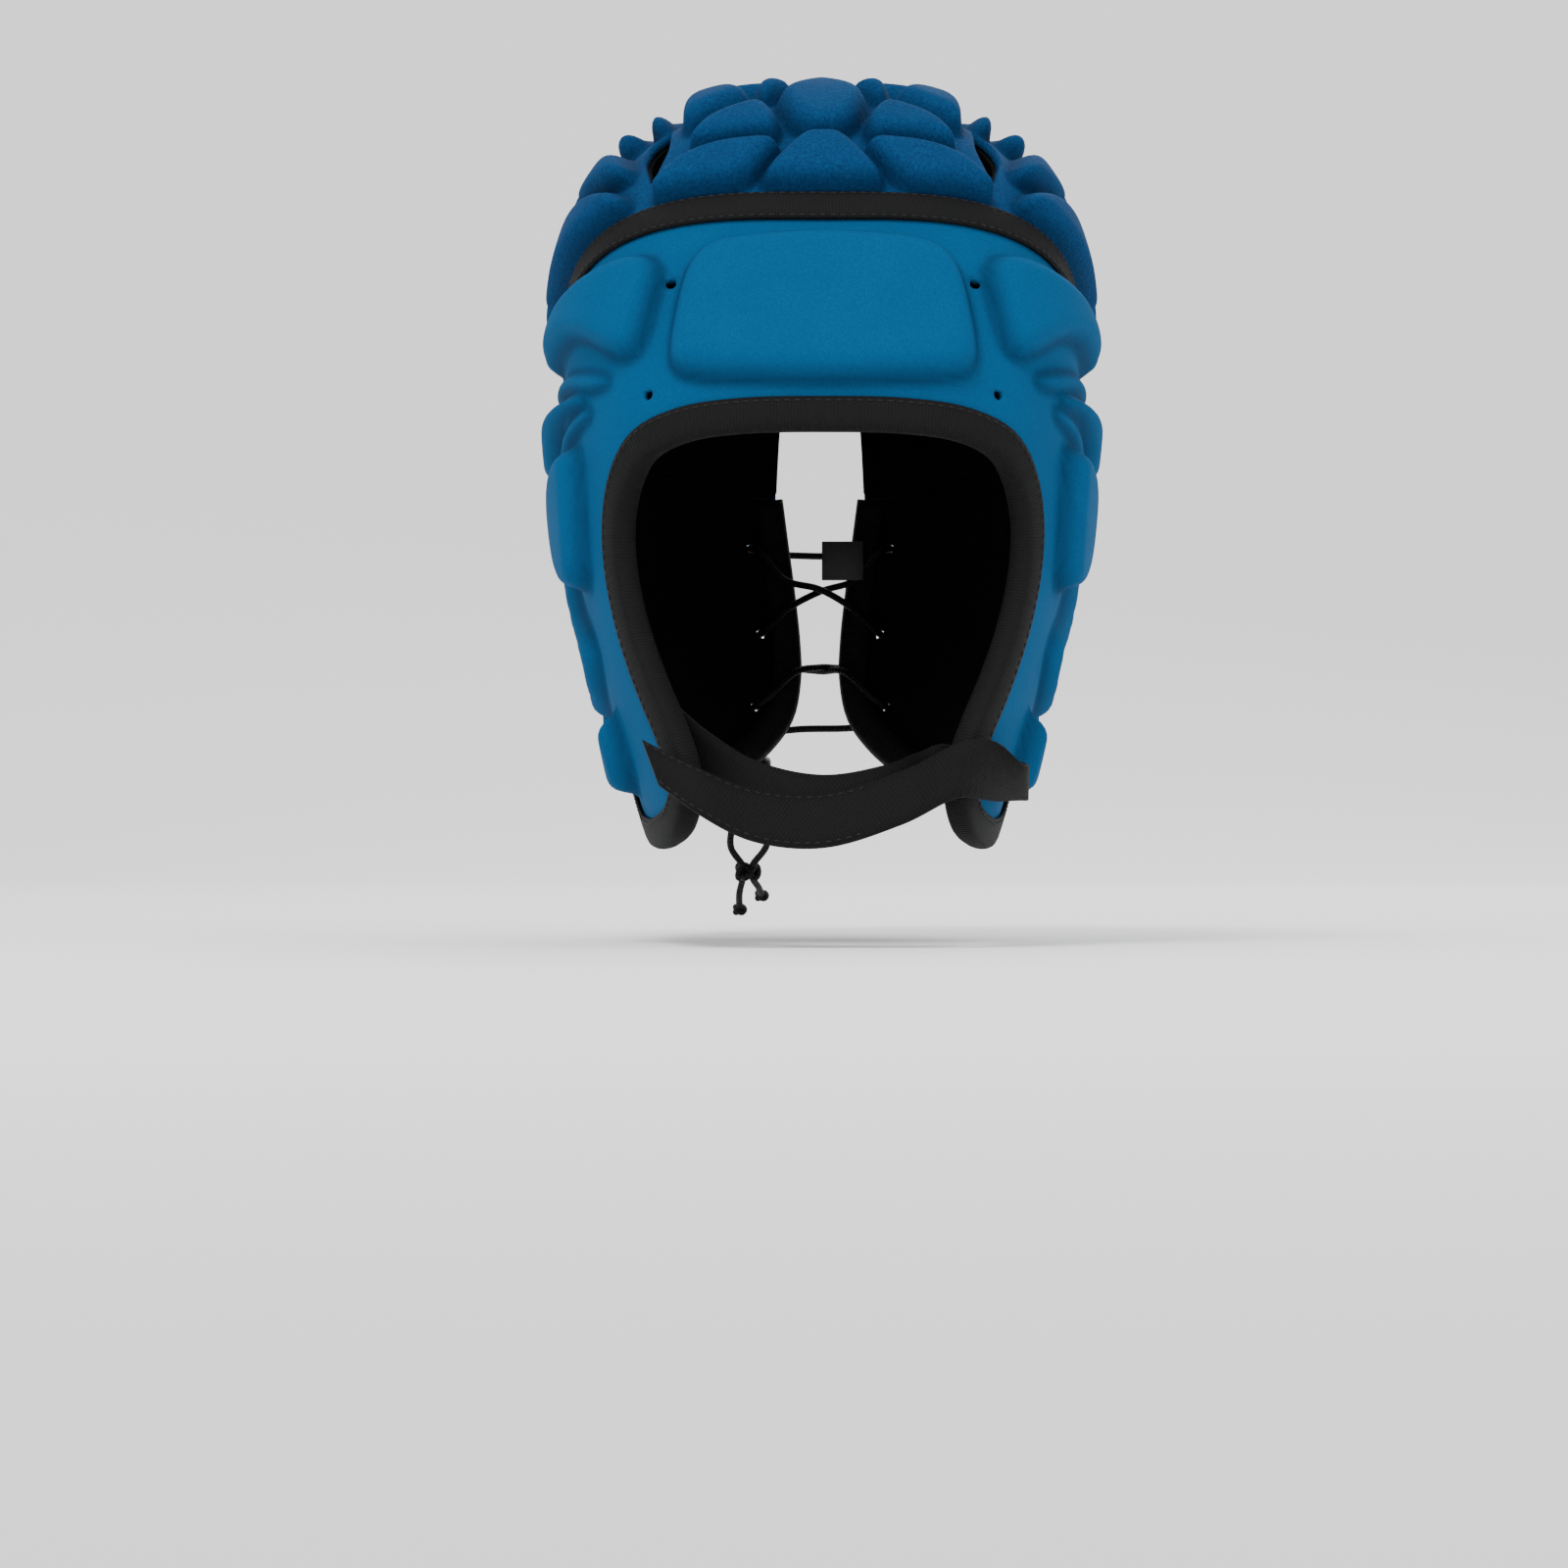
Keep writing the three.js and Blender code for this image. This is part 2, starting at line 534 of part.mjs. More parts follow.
// A sheet on the shell: raised pads on its outer face, a smooth inner face, and a wall round every edge.
function sheetGeometry(chart, { edge, rim, holes, pads, outer, inner }) {
  const positions = [];
  const faces = [];
  const add = (points, height) => points.map((p) => positions.push(lifted(chart, p, height)) - 1);
  const flipped = chart === bandChart;
  const push = ([a, b, c]) => faces.push(flipped ? [a, c, b] : [a, b, c]);
  const fill = (ids, triangles, down) =>
    triangles.forEach(([a, b, c]) => push(down ? [ids[a], ids[c], ids[b]] : [ids[a], ids[b], ids[c]]));
  const hasPads = pads.some((pad) => pad.height);
  const wide = pads.filter((pad) => pad.wide);

  const smooth = wide.map((pad) => pad.corners);
  const raised = hasPads ? pads.map((pad) => pad.loop) : [];
  const isIn = (loop, hole) => loop && surrounds(loop, centreOf(hole));

  // One face of the sheet, flat at the given height. Loops are filled unless pads stand on them.
  function face(height, loops, filled, down) {
    const holeIds = holes.map((hole) => (filled || !loops.some((loop) => isIn(loop, hole)) ? add(hole, height) : []));
    const loopIds = loops.map((loop) => add(loop, height));
    const edgeIds = add(edge, height);
    const rimIds = rim ? add(rim, height) : edgeIds;
    if (rim) rimStrip(edgeIds, rimIds, down);
    const region = (loop) => holes.map((_, k) => k).filter((k) => {
      const home = loops.find((l) => isIn(l, holes[k]));
      return home === loop;
    });
    const open = region(undefined);
    const ids = [rimIds, ...open.map((k) => holeIds[k]), ...loopIds].flat();
    fill(ids, fillLoop(chart, rim ?? edge, [...open.map((k) => holes[k]), ...loops]), down);
    if (filled) {
      loops.forEach((loop, i) => {
        const own = region(loop);
        const within = [loopIds[i], ...own.map((k) => holeIds[k])].flat();
        fill(within, fillLoop(chart, loop, own.map((k) => holes[k])), down);
      });
    }
    return { edgeIds, holeIds, loopIds };
  }

  // The strip between the edge and its rim line.
  function rimStrip(a, b, down) {
    const turned = isAnticlockwise(edge) !== down;
    a.forEach((_, i) => {
      const j = (i + 1) % a.length;
      const quad = [[a[i], a[j], b[j]], [a[i], b[j], b[i]]];
      quad.forEach(([p, q, r]) => push(turned ? [p, q, r] : [p, r, q]));
    });
  }

  function raise(pad, base) {
    const corners = pad.loop.map((p) => chart(p[0], p[1]));
    const rise = (p) => outer + padRise(pad.height, clearance(chart, corners, p));
    const top = shoulderLoop(chart, pad.loop, pad.bevel);
    const topIds = top.map((p) => add([p], rise(p))[0]);
    const n = base.length;
    const turned = isAnticlockwise(pad.loop);
    base.forEach((a, i) => {
      const j = (i + 1) % n;
      const quad = [[a, base[j], topIds[j]], [a, topIds[j], topIds[i]]];
      quad.forEach(([p, q, r]) => push(turned ? [p, q, r] : [p, r, q]));
    });
    const own = holes.map((_, k) => k).filter((k) => isIn(pad.loop, holes[k]));
    if (own.length) {
      own.forEach((k) => {
        outerFace.holeIds[k] = holes[k].map((p) => add([p], rise(p))[0]);
      });
      const within = [topIds, ...own.map((k) => outerFace.holeIds[k])].flat();
      return fill(within, fillLoop(chart, top, own.map((k) => holes[k])), false);
    }
    if (!isStar(top)) return fill(topIds, fillLoop(chart, top), false);
    const centre = centreOf(top);
    const hub = add([centre], rise(centre))[0];
    return topIds.forEach((a, i) => {
      const b = topIds[(i + 1) % n];
      push(turned ? [a, b, hub] : [b, a, hub]);
    });
  }

  const outerFace = face(outer, hasPads ? raised : smooth, !hasPads, false);
  const innerFace = face(inner, smooth, true, true);
  if (hasPads) pads.forEach((pad, k) => raise(pad, outerFace.loopIds[k]));
  const outerIds = [outerFace.edgeIds, ...outerFace.holeIds];
  const innerIds = [innerFace.edgeIds, ...innerFace.holeIds];

  [edge, ...holes].forEach((loop, k) => {
    const anticlockwise = isAnticlockwise(loop) !== k > 0;
    loop.forEach((_, i) => {
      const j = (i + 1) % loop.length;
      const [a, b, c, d] = [outerIds[k][i], outerIds[k][j], innerIds[k][j], innerIds[k][i]];
      const quad = [[a, d, c], [a, c, b]];
      quad.forEach(([p, q, r]) => push(anticlockwise ? [p, q, r] : [p, r, q]));
    });
  });
  return geometryOf(positions, faces);
}

function geometryOf(positions, faces) {
  const geometry = new THREE.BufferGeometry();
  geometry.setAttribute("position", new THREE.Float32BufferAttribute(positions.flatMap((p) => [p.x, p.y, p.z]), 3));
  geometry.setIndex(faces.flat());
  return geometry;
}

// A closed section swept through a row of frames. Each frame is a list of points, all of one length.
function sweptGeometry(frames) {
  const count = frames[0].length;
  const faces = [];
  for (let i = 0; i + 1 < frames.length; i++) {
    for (let k = 0; k < count; k++) {
      const [a, b] = [i * count + k, i * count + ((k + 1) % count)];
      faces.push([a, b, b + count], [a, b + count, a + count]);
    }
  }
  capTriangles(frames[0]).forEach(([a, b, c]) => faces.push([a, c, b]));
  const end = (frames.length - 1) * count;
  capTriangles(frames[frames.length - 1]).forEach(([a, b, c]) => faces.push([end + a, end + b, end + c]));
  return facingOut(frames.flat(), faces);
}

// Triangles that fill a flat section, turned as its corners go round.
function capTriangles(section) {
  const origin = section[0];
  const offs = section.map((p) => p.clone().sub(origin));
  const x = offs[1].clone().normalize();
  const far = offs.map((o) => o.clone().addScaledVector(x, -o.dot(x)));
  const y = far.reduce((best, o) => (o.length() > best.length() ? o : best)).clone().normalize();
  const flat = offs.map((o) => new THREE.Vector2(o.dot(x), o.dot(y)));
  const turn = Math.sign(THREE.ShapeUtils.area(flat));
  return THREE.ShapeUtils.triangulateShape(flat, []).map(([a, b, c]) => {
    const area = flat[b].clone().sub(flat[a]).cross(flat[c].clone().sub(flat[a]));
    return area * turn > 0 ? [a, b, c] : [a, c, b];
  });
}

// A closed body with its faces outwards.
function facingOut(positions, faces) {
  const volume = faces.reduce((sum, [a, b, c]) => {
    return sum + positions[a].dot(positions[b].clone().cross(positions[c]));
  }, 0);
  return geometryOf(positions, volume > 0 ? faces : faces.map(([a, b, c]) => [a, c, b]));
}

// A geometry as a manifold-3d solid, and back. An inside-out one is turned.
function toSolid(geometry) {
  const bare = new THREE.BufferGeometry();
  bare.setAttribute("position", geometry.getAttribute("position").clone());
  if (geometry.index) bare.setIndex(geometry.index.clone());
  const merged = mergeVertices(bare, 1e-4);
  const triVerts = new Uint32Array(merged.index.array);
  const vertProperties = new Float32Array(merged.attributes.position.array);
  const solid = new wasm.Manifold(new wasm.Mesh({ numProp: 3, vertProperties, triVerts }));
  if (solid.volume() > 0) return solid;
  for (let i = 0; i < triVerts.length; i += 3) [triVerts[i + 1], triVerts[i + 2]] = [triVerts[i + 2], triVerts[i + 1]];
  return new wasm.Manifold(new wasm.Mesh({ numProp: 3, vertProperties, triVerts }));
}
function toGeometry(solid) {
  const mesh = solid.getMesh();
  const geometry = new THREE.BufferGeometry();
  const positions = [];
  for (let i = 0; i < mesh.numVert; i++) {
    positions.push(...mesh.vertProperties.subarray(i * mesh.numProp, i * mesh.numProp + 3));
  }
  geometry.setAttribute("position", new THREE.Float32BufferAttribute(positions, 3));
  geometry.setIndex(new THREE.BufferAttribute(mesh.triVerts, 1));
  return geometry;
}

// A round hole as a loop.
function roundLoop(chart, point, radius, sides) {
  const [du] = tangents(chart, point[0], point[1]);
  const normal = outward(chart, point[0], point[1]);
  return Array.from({ length: sides }, (_, i) => {
    return slide(chart, point, du.clone().setLength(radius).applyAxisAngle(normal, (2 * Math.PI * i) / sides));
  });
}

// Pads ready for a sheet, with split edges and the right way round. The wide ones shape the inner face too.
function readyPads(chart, pads, height, line = [], margin = 0) {
  return bothSides(pads).map((pad) => {
    const given = turnedLoop(chart, pad.at);
    const corners = given.map((p) => (margin ? keptClear(chart, p, line, margin) : p));
    const split = splitEdges(chart, corners, edgeStep + 2);
    const loop = turnedLoop(chart, split.map((p) => (margin ? keptClear(chart, p, line, margin) : p)));
    const points = corners.map((p) => chart(p[0], p[1]));
    const area = points.reduce((sum, p, i) => {
      const next = points[(i + 1) % points.length].clone().sub(points[0]);
      return sum + p.clone().sub(points[0]).cross(next).length() / 2;
    }, 0);
    return { loop, corners, wide: area > wideArea, bevel: pad.bevel ?? padBevel, height: pad.height ?? height };
  });
}

const colours = { crown: 0x27639a, band: 0x1d74ac, black: 0x18181a, lining: 0x0b0b0c };
function finish(colour, roughness) {
  return new THREE.MeshStandardMaterial({ color: colour, roughness, metalness: 0 });
}
function part(name, geometry, colour, roughness = 0.85) {
  const mesh = new THREE.Mesh(geometry, finish(colour, roughness));
  mesh.name = name;
  return mesh;
}

// The seam's turns, shared by the crown's edge, the headband's top edge and the tape.
const seamTurns = [];
const napeTurn = 172;
const seamSteps = 44;
for (let i = 0; i <= seamSteps; i++) seamTurns.push(-napeTurn + (2 * napeTurn * i) / seamSteps);

// Chart points a given distance above (negative) or below the seam.
function crownSeamPoint(degrees, distance) {
  const turn = THREE.MathUtils.degToRad(degrees);
  const at = (t) => [t * Math.sin(turn), -t * Math.cos(turn)];
  const perShare = crownChart(...at(0.97)).distanceTo(crownChart(...at(1))) / 0.03;
  return at(1 - distance / perShare);
}
function bandSeamPoint(degrees, distance) {
  const perShare = bandChart(degrees, 0).distanceTo(bandChart(degrees, 0.03)) / 0.03;
  return [degrees, distance / perShare];
}

function ventLoops() {
  const round = [];
  for (let i = 0; i < topVent.sides; i++) {
    const a = (2 * Math.PI * i) / topVent.sides;
    round.push([topVent.halfWidth * Math.cos(a), topVent.y + topVent.halfLength * Math.sin(a)]);
  }
  const sides = [slitVent, sideVent].flatMap((loop) => [loop, mirrorLoop(loop)]);
  return [round, ...sides.map((loop) => splitEdges(crownChart, loop, edgeStep + 4))];
}

function napeLine(inset) {
  const right = napeGap.map(([x, y]) => [x + (x > 0.01 ? inset : 0), y - (x > 0.01 ? 0 : inset)]);
  const left = right.slice(0, -1).map(([x, y]) => [-x, y]).reverse();
  return splitEdges(crownChart, [...right, ...left], edgeStep, false).slice(1, -1);
}

function crownEdge(seamDistance, napeInset) {
  return [...seamTurns.map((d) => crownSeamPoint(d, seamDistance)), ...napeLine(napeInset)];
}

function makeCrown() {
  return sheetGeometry(crownChart, {
    edge: turnedLoop(crownChart, crownEdge(seamGap / 2, 0)),
    holes: ventLoops(),
    pads: readyPads(crownChart, crownPads, crownPadHeight),
    outer: 0,
    inner: -foamWall,
  });
}

// The lining follows the crown's inner face, without the pads.
const withoutHeight = (pads) => pads.map((pad) => ({ ...pad, height: 0 }));
function makeCrownLining() {
  return sheetGeometry(crownChart, {
    edge: turnedLoop(crownChart, crownEdge(seamGap / 2, 0)),
    holes: ventLoops(),
    pads: withoutHeight(readyPads(crownChart, crownPads, 0)),
    outer: liningOuter,
    inner: liningInner,
  });
}

// The headband's edges as chart lines, from the back's left end along the left flap's bottom, up round its
// face edge and over the forehead, and down the right side in the same way.
const halfEdge = [...faceEdge, ...backEdge];
const edgeLine = smoothLine(bandChart, [...mirrorLoop(halfEdge.slice(1)), ...halfEdge], edgeStep);

function bandEdge(seamDistance) {
  const top = seamTurns.map((d) => bandSeamPoint(d, seamDistance)).reverse();
  return [...top, ...edgeLine.slice(1, -1)];
}

// A point a given way in from the right back edge, at the given fall of the edge.
function inFromBack(fall, distance) {
  const i = edgeLine.findIndex((p, k) => k > edgeLine.length / 2 && p[0] > 150 && p[1] < fall);
  const [a, b] = [edgeLine[i - 1], edgeLine[i]];
  const t = (fall - a[1]) / (b[1] - a[1]);
  return slideAcross(bandChart, [a[0] + (b[0] - a[0]) * t, fall], a, b, distance);
}
const laceHoles = laceRows.map((fall) => inFromBack(fall, laceHoleInset));

const bothHoles = (points) => points.flatMap(([u, v]) => [[u, v], [-u, v]]);

// The chin tab's slot, long across the tab.
const slotCentre = [35, 0.862];
const slotTurn = [9, 0.09];
const slotLength = strapWidth + 2;
const slotWidth = 7;
function slotFrame() {
  const normal = outward(bandChart, ...slotCentre);
  const [du, dv] = tangents(bandChart, ...slotCentre);
  const along = du.multiplyScalar(slotTurn[0]).addScaledVector(dv, slotTurn[1]).normalize();
  return { normal, along, across: normal.clone().cross(along) };
}
function slotLoop() {
  const { along, across } = slotFrame();
  const corners = [[-1, -1], [1, -1], [1, 1], [-1, 1]];
  return corners.map(([a, b]) => slide(bandChart, slotCentre,
    along.clone().multiplyScalar((a * slotLength) / 2).addScaledVector(across, (b * slotWidth) / 2)));
}

function bandHoles() {
  const round = (points, radius, sides) => bothHoles(points).map((p) => roundLoop(bandChart, p, radius, sides));
  return [
    slotLoop(), ...round(ventHoles, ventHoleRadius, 6), ...round(earHoles, earHoleRadius, 5),
    ...round(laceHoles, laceHoleRadius, 6),
  ];
}

// The line on the headband that tape and binding end short of.
const cornerTurn = napeTurn - 4.9;
function bandRim() {
  const top = seamTurns.map((d) => bandSeamPoint(THREE.MathUtils.clamp(d, -cornerTurn, cornerTurn), rimWidth));
  const sides = edgeLine.slice(1, -1).map((point, i) => {
    return slideAcross(bandChart, point, edgeLine[i], edgeLine[i + 2], bindingWidth + 0.7);
  });
  return [...top.reverse(), ...sides];
}

function bandSheet(pads, outer, inner) {
  const edge = bandEdge(seamGap / 2);
  const turned = turnedLoop(bandChart, edge) !== edge;
  return sheetGeometry(bandChart, {
    edge: turned ? [...edge].reverse() : edge,
    rim: turned ? bandRim().reverse() : bandRim(),
    holes: bandHoles(),
    pads,
    outer,
    inner,
  });
}
function makeBand() {
  return bandSheet(readyPads(bandChart, bandPads, bandPadHeight, edgeLine, padMargin), 0, -foamWall);
}
function makeBandLining() {
  return bandSheet(withoutHeight(readyPads(bandChart, bandPads, 0, edgeLine, padMargin)), liningOuter, liningInner);
}

// The tape that covers the seam between crown and headband.
const tapeEnd = napeTurn - 5.8;
function makeSeamTape() {
  const [low, high] = [bindingGap, bindingGap + tapeWall];
  const turns = seamTurns.filter((d) => Math.abs(d) < tapeEnd - 1);
  return sweptGeometry([-tapeEnd, ...turns, tapeEnd].map((d) => {
    const above = crownSeamPoint(d, tapeHalfWidth);
    const below = bandSeamPoint(d, tapeHalfWidth);
    return [
      lifted(crownChart, above, low), lifted(bandChart, below, low),
      lifted(bandChart, below, high), lifted(crownChart, above, high),
    ];
  }));
}

// The binding: a folded tape round the headband's edge, both layers inside it.
function makeEdgeBinding() {
  const line = [...edgeLine];
  const [top, bottom] = [bindingGap, liningInner - 2 * bindingGap];
  return sweptGeometry(line.map((point, i) => {
    const before = line[Math.max(i - 1, 0)];
    const after = line[Math.min(i + 1, line.length - 1)];
    const tip = slideAcross(bandChart, point, before, after, bindingWidth);
    const clear = slideAcross(bandChart, point, before, after, -bindingGap);
    const fold = slideAcross(bandChart, point, before, after, -bindingGap - bindingWall);
    return [
      lifted(bandChart, tip, top + bindingWall), lifted(bandChart, fold, top + bindingWall),
      lifted(bandChart, fold, bottom - bindingWall), lifted(bandChart, tip, bottom - bindingWall),
      lifted(bandChart, tip, bottom), lifted(bandChart, clear, bottom),
      lifted(bandChart, clear, top), lifted(bandChart, tip, top),
    ];
  }));
}

// The chin strap: a loop through the slot of the left tab, its outer layer ending free at the right tab.
// lean is how far the strap's width leans from upright, in degrees, its lower edge forwards.
const strapInner = [
  { x: -48, y: -78, z: -213, lean: 8 }, { x: -44.5, y: -93, z: -216, lean: 10 },
  { x: -36, y: -104, z: -222, lean: 18 }, { x: -20, y: -115, z: -231, lean: 25 },
  { x: 0, y: -119, z: -235, lean: 27 }, { x: 19, y: -114.5, z: -232, lean: 25 },
  { x: 32, y: -103, z: -227.5, lean: 18 },
];
const strapOuter = [
  { x: 46, y: -129, z: -224, lean: 18 }, { x: 27, y: -128.5, z: -233, lean: 24 },
  { x: 0, y: -126.5, z: -241, lean: 27 }, { x: -24, y: -129.5, z: -239, lean: 28 },
  { x: -42, y: -131.5, z: -231, lean: 32 }, { x: -57, y: -124, z: -222, lean: 40 },
];
function makeStrap() {
  const { normal, along } = slotFrame();
  const through = (height, forward) => {
    const p = bandChart(...slotCentre).addScaledVector(normal, height);
    return p.add(new THREE.Vector3(-forward * normal.y, forward * normal.x, 0).negate());
  };
  const row = (table) => table.map(({ x, y, z, lean }) => {
    const angle = THREE.MathUtils.degToRad(lean);
    const face = new THREE.Vector3(-x, 0, 0).multiplyScalar(Math.sin(angle) / frontReach);
    const across = new THREE.Vector3(face.x, -Math.sin(angle), -Math.cos(angle)).normalize();
    return { at: new THREE.Vector3(x, y, z), across };
  });
  const down = along.clone().multiplyScalar(along.z < 0 ? 1 : -1);
  const crossing = [
    [-11, 8], [-7.5, 1.5], [-3, 0], [2, 0], [6, 1.5], [9.6, 7], [10.3, 15],
  ].map(([height, forward]) => {
    return { at: through(height, forward), across: down };
  });
  const stations = [...row(strapInner), ...crossing, ...row(strapOuter)];
  const centres = new THREE.CatmullRomCurve3(stations.map((s) => s.at), false, "centripetal");
  const across = new THREE.CatmullRomCurve3(stations.map((s) => s.across), false, "centripetal");
  const frames = [];
  const count = (stations.length - 1) * 2;
  for (let i = 0; i <= count; i++) {
    const t = i / count;
    const width = across.getPoint(t).normalize();
    const face = centres.getTangent(t).cross(width).normalize();
    const centre = centres.getPoint(t);
    frames.push([[-1, -1], [1, -1], [1, 1], [-1, 1]].map(([w, h]) => centre.clone()
      .addScaledVector(width, (w * strapWidth) / 2).addScaledVector(face, (h * strapWall) / 2)));
  }
  return sweptGeometry(frames);
}

// The lace, as points of the headband's chart with their heights, from the lock to the top bar and back.
const overBinding = bindingGap + bindingWall + laceRadius + 0.8;
const underBinding = liningInner - 2 * bindingGap - bindingWall - laceRadius - 1;
const [rowOne, rowTwo, rowThree] = laceHoles;
const lockAt = { turn: 193.5, fall: 0.735, height: 10 };
const steepCross = 1.45; // the lower crossing dips through the gap, so its two runs stand further apart
const lockSpread = 2.1;
function laceRun(sign, cross) {
  const near = (hole) => [180 + sign * (180 - hole[0]), hole[1]];
  const far = (hole) => [180 - sign * (180 - hole[0]), hole[1]];
  const spot = ([u, v], height) => lifted(bandChart, [u, v], height);
  const side = (u) => 180 + sign * u;
  return [
    spot([side(1), rowOne[1] + 0.002], overBinding - 0.6),
    spot([side(8), rowOne[1]], overBinding),
    spot([near(rowOne)[0] - sign * 1.2, rowOne[1]], overBinding),
    spot(near(rowOne), 0.6),
    spot(near(rowOne), -5),
    spot([near(rowOne)[0] - sign * 1.2, rowOne[1] + 0.015], underBinding + 0.3),
    spot([side(7), rowOne[1] + 0.09], underBinding),
    spot([180, (rowOne[1] + rowTwo[1]) / 2], underBinding + cross),
    spot([side(-7), rowTwo[1] - 0.06], underBinding),
    spot([far(rowTwo)[0] + sign * 1.3, rowTwo[1] - 0.012], underBinding + 0.2),
    spot(far(rowTwo), -5),
    spot(far(rowTwo), 0.6),
    spot([far(rowTwo)[0] + sign * 1.3, rowTwo[1] + 0.015], overBinding - 0.3),
    spot([side(-5.2), rowTwo[1] + 0.07], overBinding + 0.5),
    spot([180, (rowTwo[1] + rowThree[1]) / 2 - 0.01], (overBinding + underBinding) / 2 + cross * steepCross),
    spot([side(5.2), rowThree[1] - 0.09], underBinding - 0.6),
    spot([near(rowThree)[0] - sign * 2, rowThree[1] - 0.015], underBinding),
    spot(near(rowThree), -5),
    spot(near(rowThree), 0.6),
  ];
}
function lockPoint(x, y, z) {
  const centre = lifted(bandChart, [lockAt.turn, lockAt.fall], lockAt.height);
  return centre.add(new THREE.Vector3(x, y, z));
}
function laceCurve() {
  const spot = (u, v, height) => lifted(bandChart, [u, v], height);
  const right = [
    ...laceRun(1, -1.7),
    spot(360 - rowThree[0] - 0.6, rowThree[1] + 0.016, overBinding + 1.2),
    lockPoint(-lockSpread, 0, lockRadius + 3),
    lockPoint(-lockSpread, 0, lockRadius),
    lockPoint(-lockSpread, 0, 0.5),
  ];
  const left = [
    ...laceRun(-1, 1.7),
    spot(rowThree[0] + 2.5, rowThree[1] + 0.012, overBinding),
    spot(172, rowThree[1] + 0.035, overBinding),
    spot(185, rowThree[1] + 0.04, overBinding + 1.5),
    lockPoint(lockSpread, -0.5, lockRadius + 6),
    lockPoint(lockSpread, 0, lockRadius + 1),
    lockPoint(lockSpread, 0, 0.5),
  ];
  return new THREE.CatmullRomCurve3([...right.reverse(), ...left], false, "centripetal");
}
function cordShape(sides) {
  return new THREE.Shape(Array.from({ length: sides }, (_, i) => {
    const a = (2 * Math.PI * i) / sides;
    return new THREE.Vector2(laceRadius * Math.cos(a), laceRadius * Math.sin(a));
  }));
}
function cordGeometry(curve, step) {
  const steps = Math.round(curve.getLength() / step);
  return new THREE.ExtrudeGeometry(cordShape(8), { steps, bevelEnabled: false, extrudePath: curve });
}

// The two free tails, from the lock through the knot to their ends, as offsets from the lock.
const tails = {
  lace_tail_left: [
    [2.1, 0, 0], [2.1, 0.3, -8], [6, 4, -16], [7, 10, -26], [1.7, 19, -34], [1.7, 24, -38],
    [4, 33, -42], [5, 43, -45],
  ],
  lace_tail_right: [
    [-2.1, 0, 0], [-2.1, 0.3, -8], [-5, 7, -18], [-6, 13, -27], [-1.7, 19, -34], [-1.7, 24, -38],
    [-3, 31, -44], [-3, 40, -50],
  ],
};
function tailCurve(name) {
  return new THREE.CatmullRomCurve3(tails[name].map((p) => lockPoint(...p)), false, "centripetal");
}
function boredFor(solid, curves, steps) {
  return toGeometry(curves.reduce((left, curve) => {
    const bore = new THREE.ExtrudeGeometry(
      new THREE.Shape(cordShape(8).getPoints().map((p) => p.clone().multiplyScalar(1 + 0.5 / laceRadius))),
      { steps, bevelEnabled: false, extrudePath: curve });
    return left.subtract(toSolid(bore));
  }, solid));
}

// The lock: a barrel with two bores and its push button.
const buttonRadius = 4.6;
const buttonLength = 5;
function lockBody() {
  const profile = [
    [0, -0.5], [0.72, -0.5], [0.95, -0.4], [1, -0.2], [1, 0.2], [0.95, 0.4], [0.72, 0.5], [0, 0.5],
  ].map(([r, h]) => new THREE.Vector2(r * lockRadius, h * lockLength));
  const body = new THREE.LatheGeometry(profile, 14).rotateZ(Math.PI / 2);
  body.translate(...lockPoint(0, 0, 0).toArray());
  const bores = [-lockSpread, lockSpread].map((x) => new THREE.CatmullRomCurve3([
    lockPoint(x, 0, 2 * lockRadius), lockPoint(x, 0, 0), lockPoint(x, 0, -2 * lockRadius)]));
  return boredFor(toSolid(body), bores, 1);
}
function lockButton() {
  const button = new THREE.CylinderGeometry(buttonRadius, buttonRadius * 0.94, buttonLength, 14).rotateZ(Math.PI / 2);
  button.translate(...lockPoint(-(lockLength + buttonLength) / 2 - 0.4, 0, 0).toArray());
  return button;
}
function tailKnot() {
  const knot = new THREE.SphereGeometry(5.2, 10, 6);
  knot.scale(1, 0.9, 0.8);
  const [a, b] = ["lace_tail_left", "lace_tail_right"].map((name) => tailCurve(name));
  const middle = lockPoint(0, 21.5, -36);
  knot.rotateX(-0.75);
  knot.translate(...middle.toArray());
  return boredFor(toSolid(knot), [a, b], boreSteps);
}

// The label tab hangs inside the gap from the left flap's inner side.
function labelTab() {
  const box = new THREE.BoxGeometry(labelWidth, labelWall, labelHeight);
  const middle = lifted(bandChart, [175.5, rowOne[1] + 0.04], underBinding - 4.2);
  box.translate(...middle.toArray());
  return box;
}

const scene = new THREE.Group();
scene.add(part("crown_shell", makeCrown(), colours.crown));
scene.add(part("crown_lining", makeCrownLining(), colours.lining));
scene.add(part("headband_shell", makeBand(), colours.band));
scene.add(part("headband_lining", makeBandLining(), colours.lining));
scene.add(part("seam_tape", makeSeamTape(), colours.black));
scene.add(part("edge_binding", makeEdgeBinding(), colours.black));

scene.add(part("chin_strap", makeStrap(), colours.black));
scene.add(part("lace_cord", cordGeometry(laceCurve(), laceStep), colours.black, 0.7));
for (const name of Object.keys(tails)) {
  scene.add(part(name, cordGeometry(tailCurve(name), laceStep), colours.black, 0.7));
}
scene.add(part("lock_body", lockBody(), colours.black, 0.45));
scene.add(part("lock_button", lockButton(), colours.black, 0.45));
scene.add(part("tail_knot", tailKnot(), colours.black, 0.7));
scene.add(part("label_tab", labelTab(), colours.black));

export default scene;
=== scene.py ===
import math

import bmesh
import bpy
import numpy as np
from mathutils import Matrix, Vector


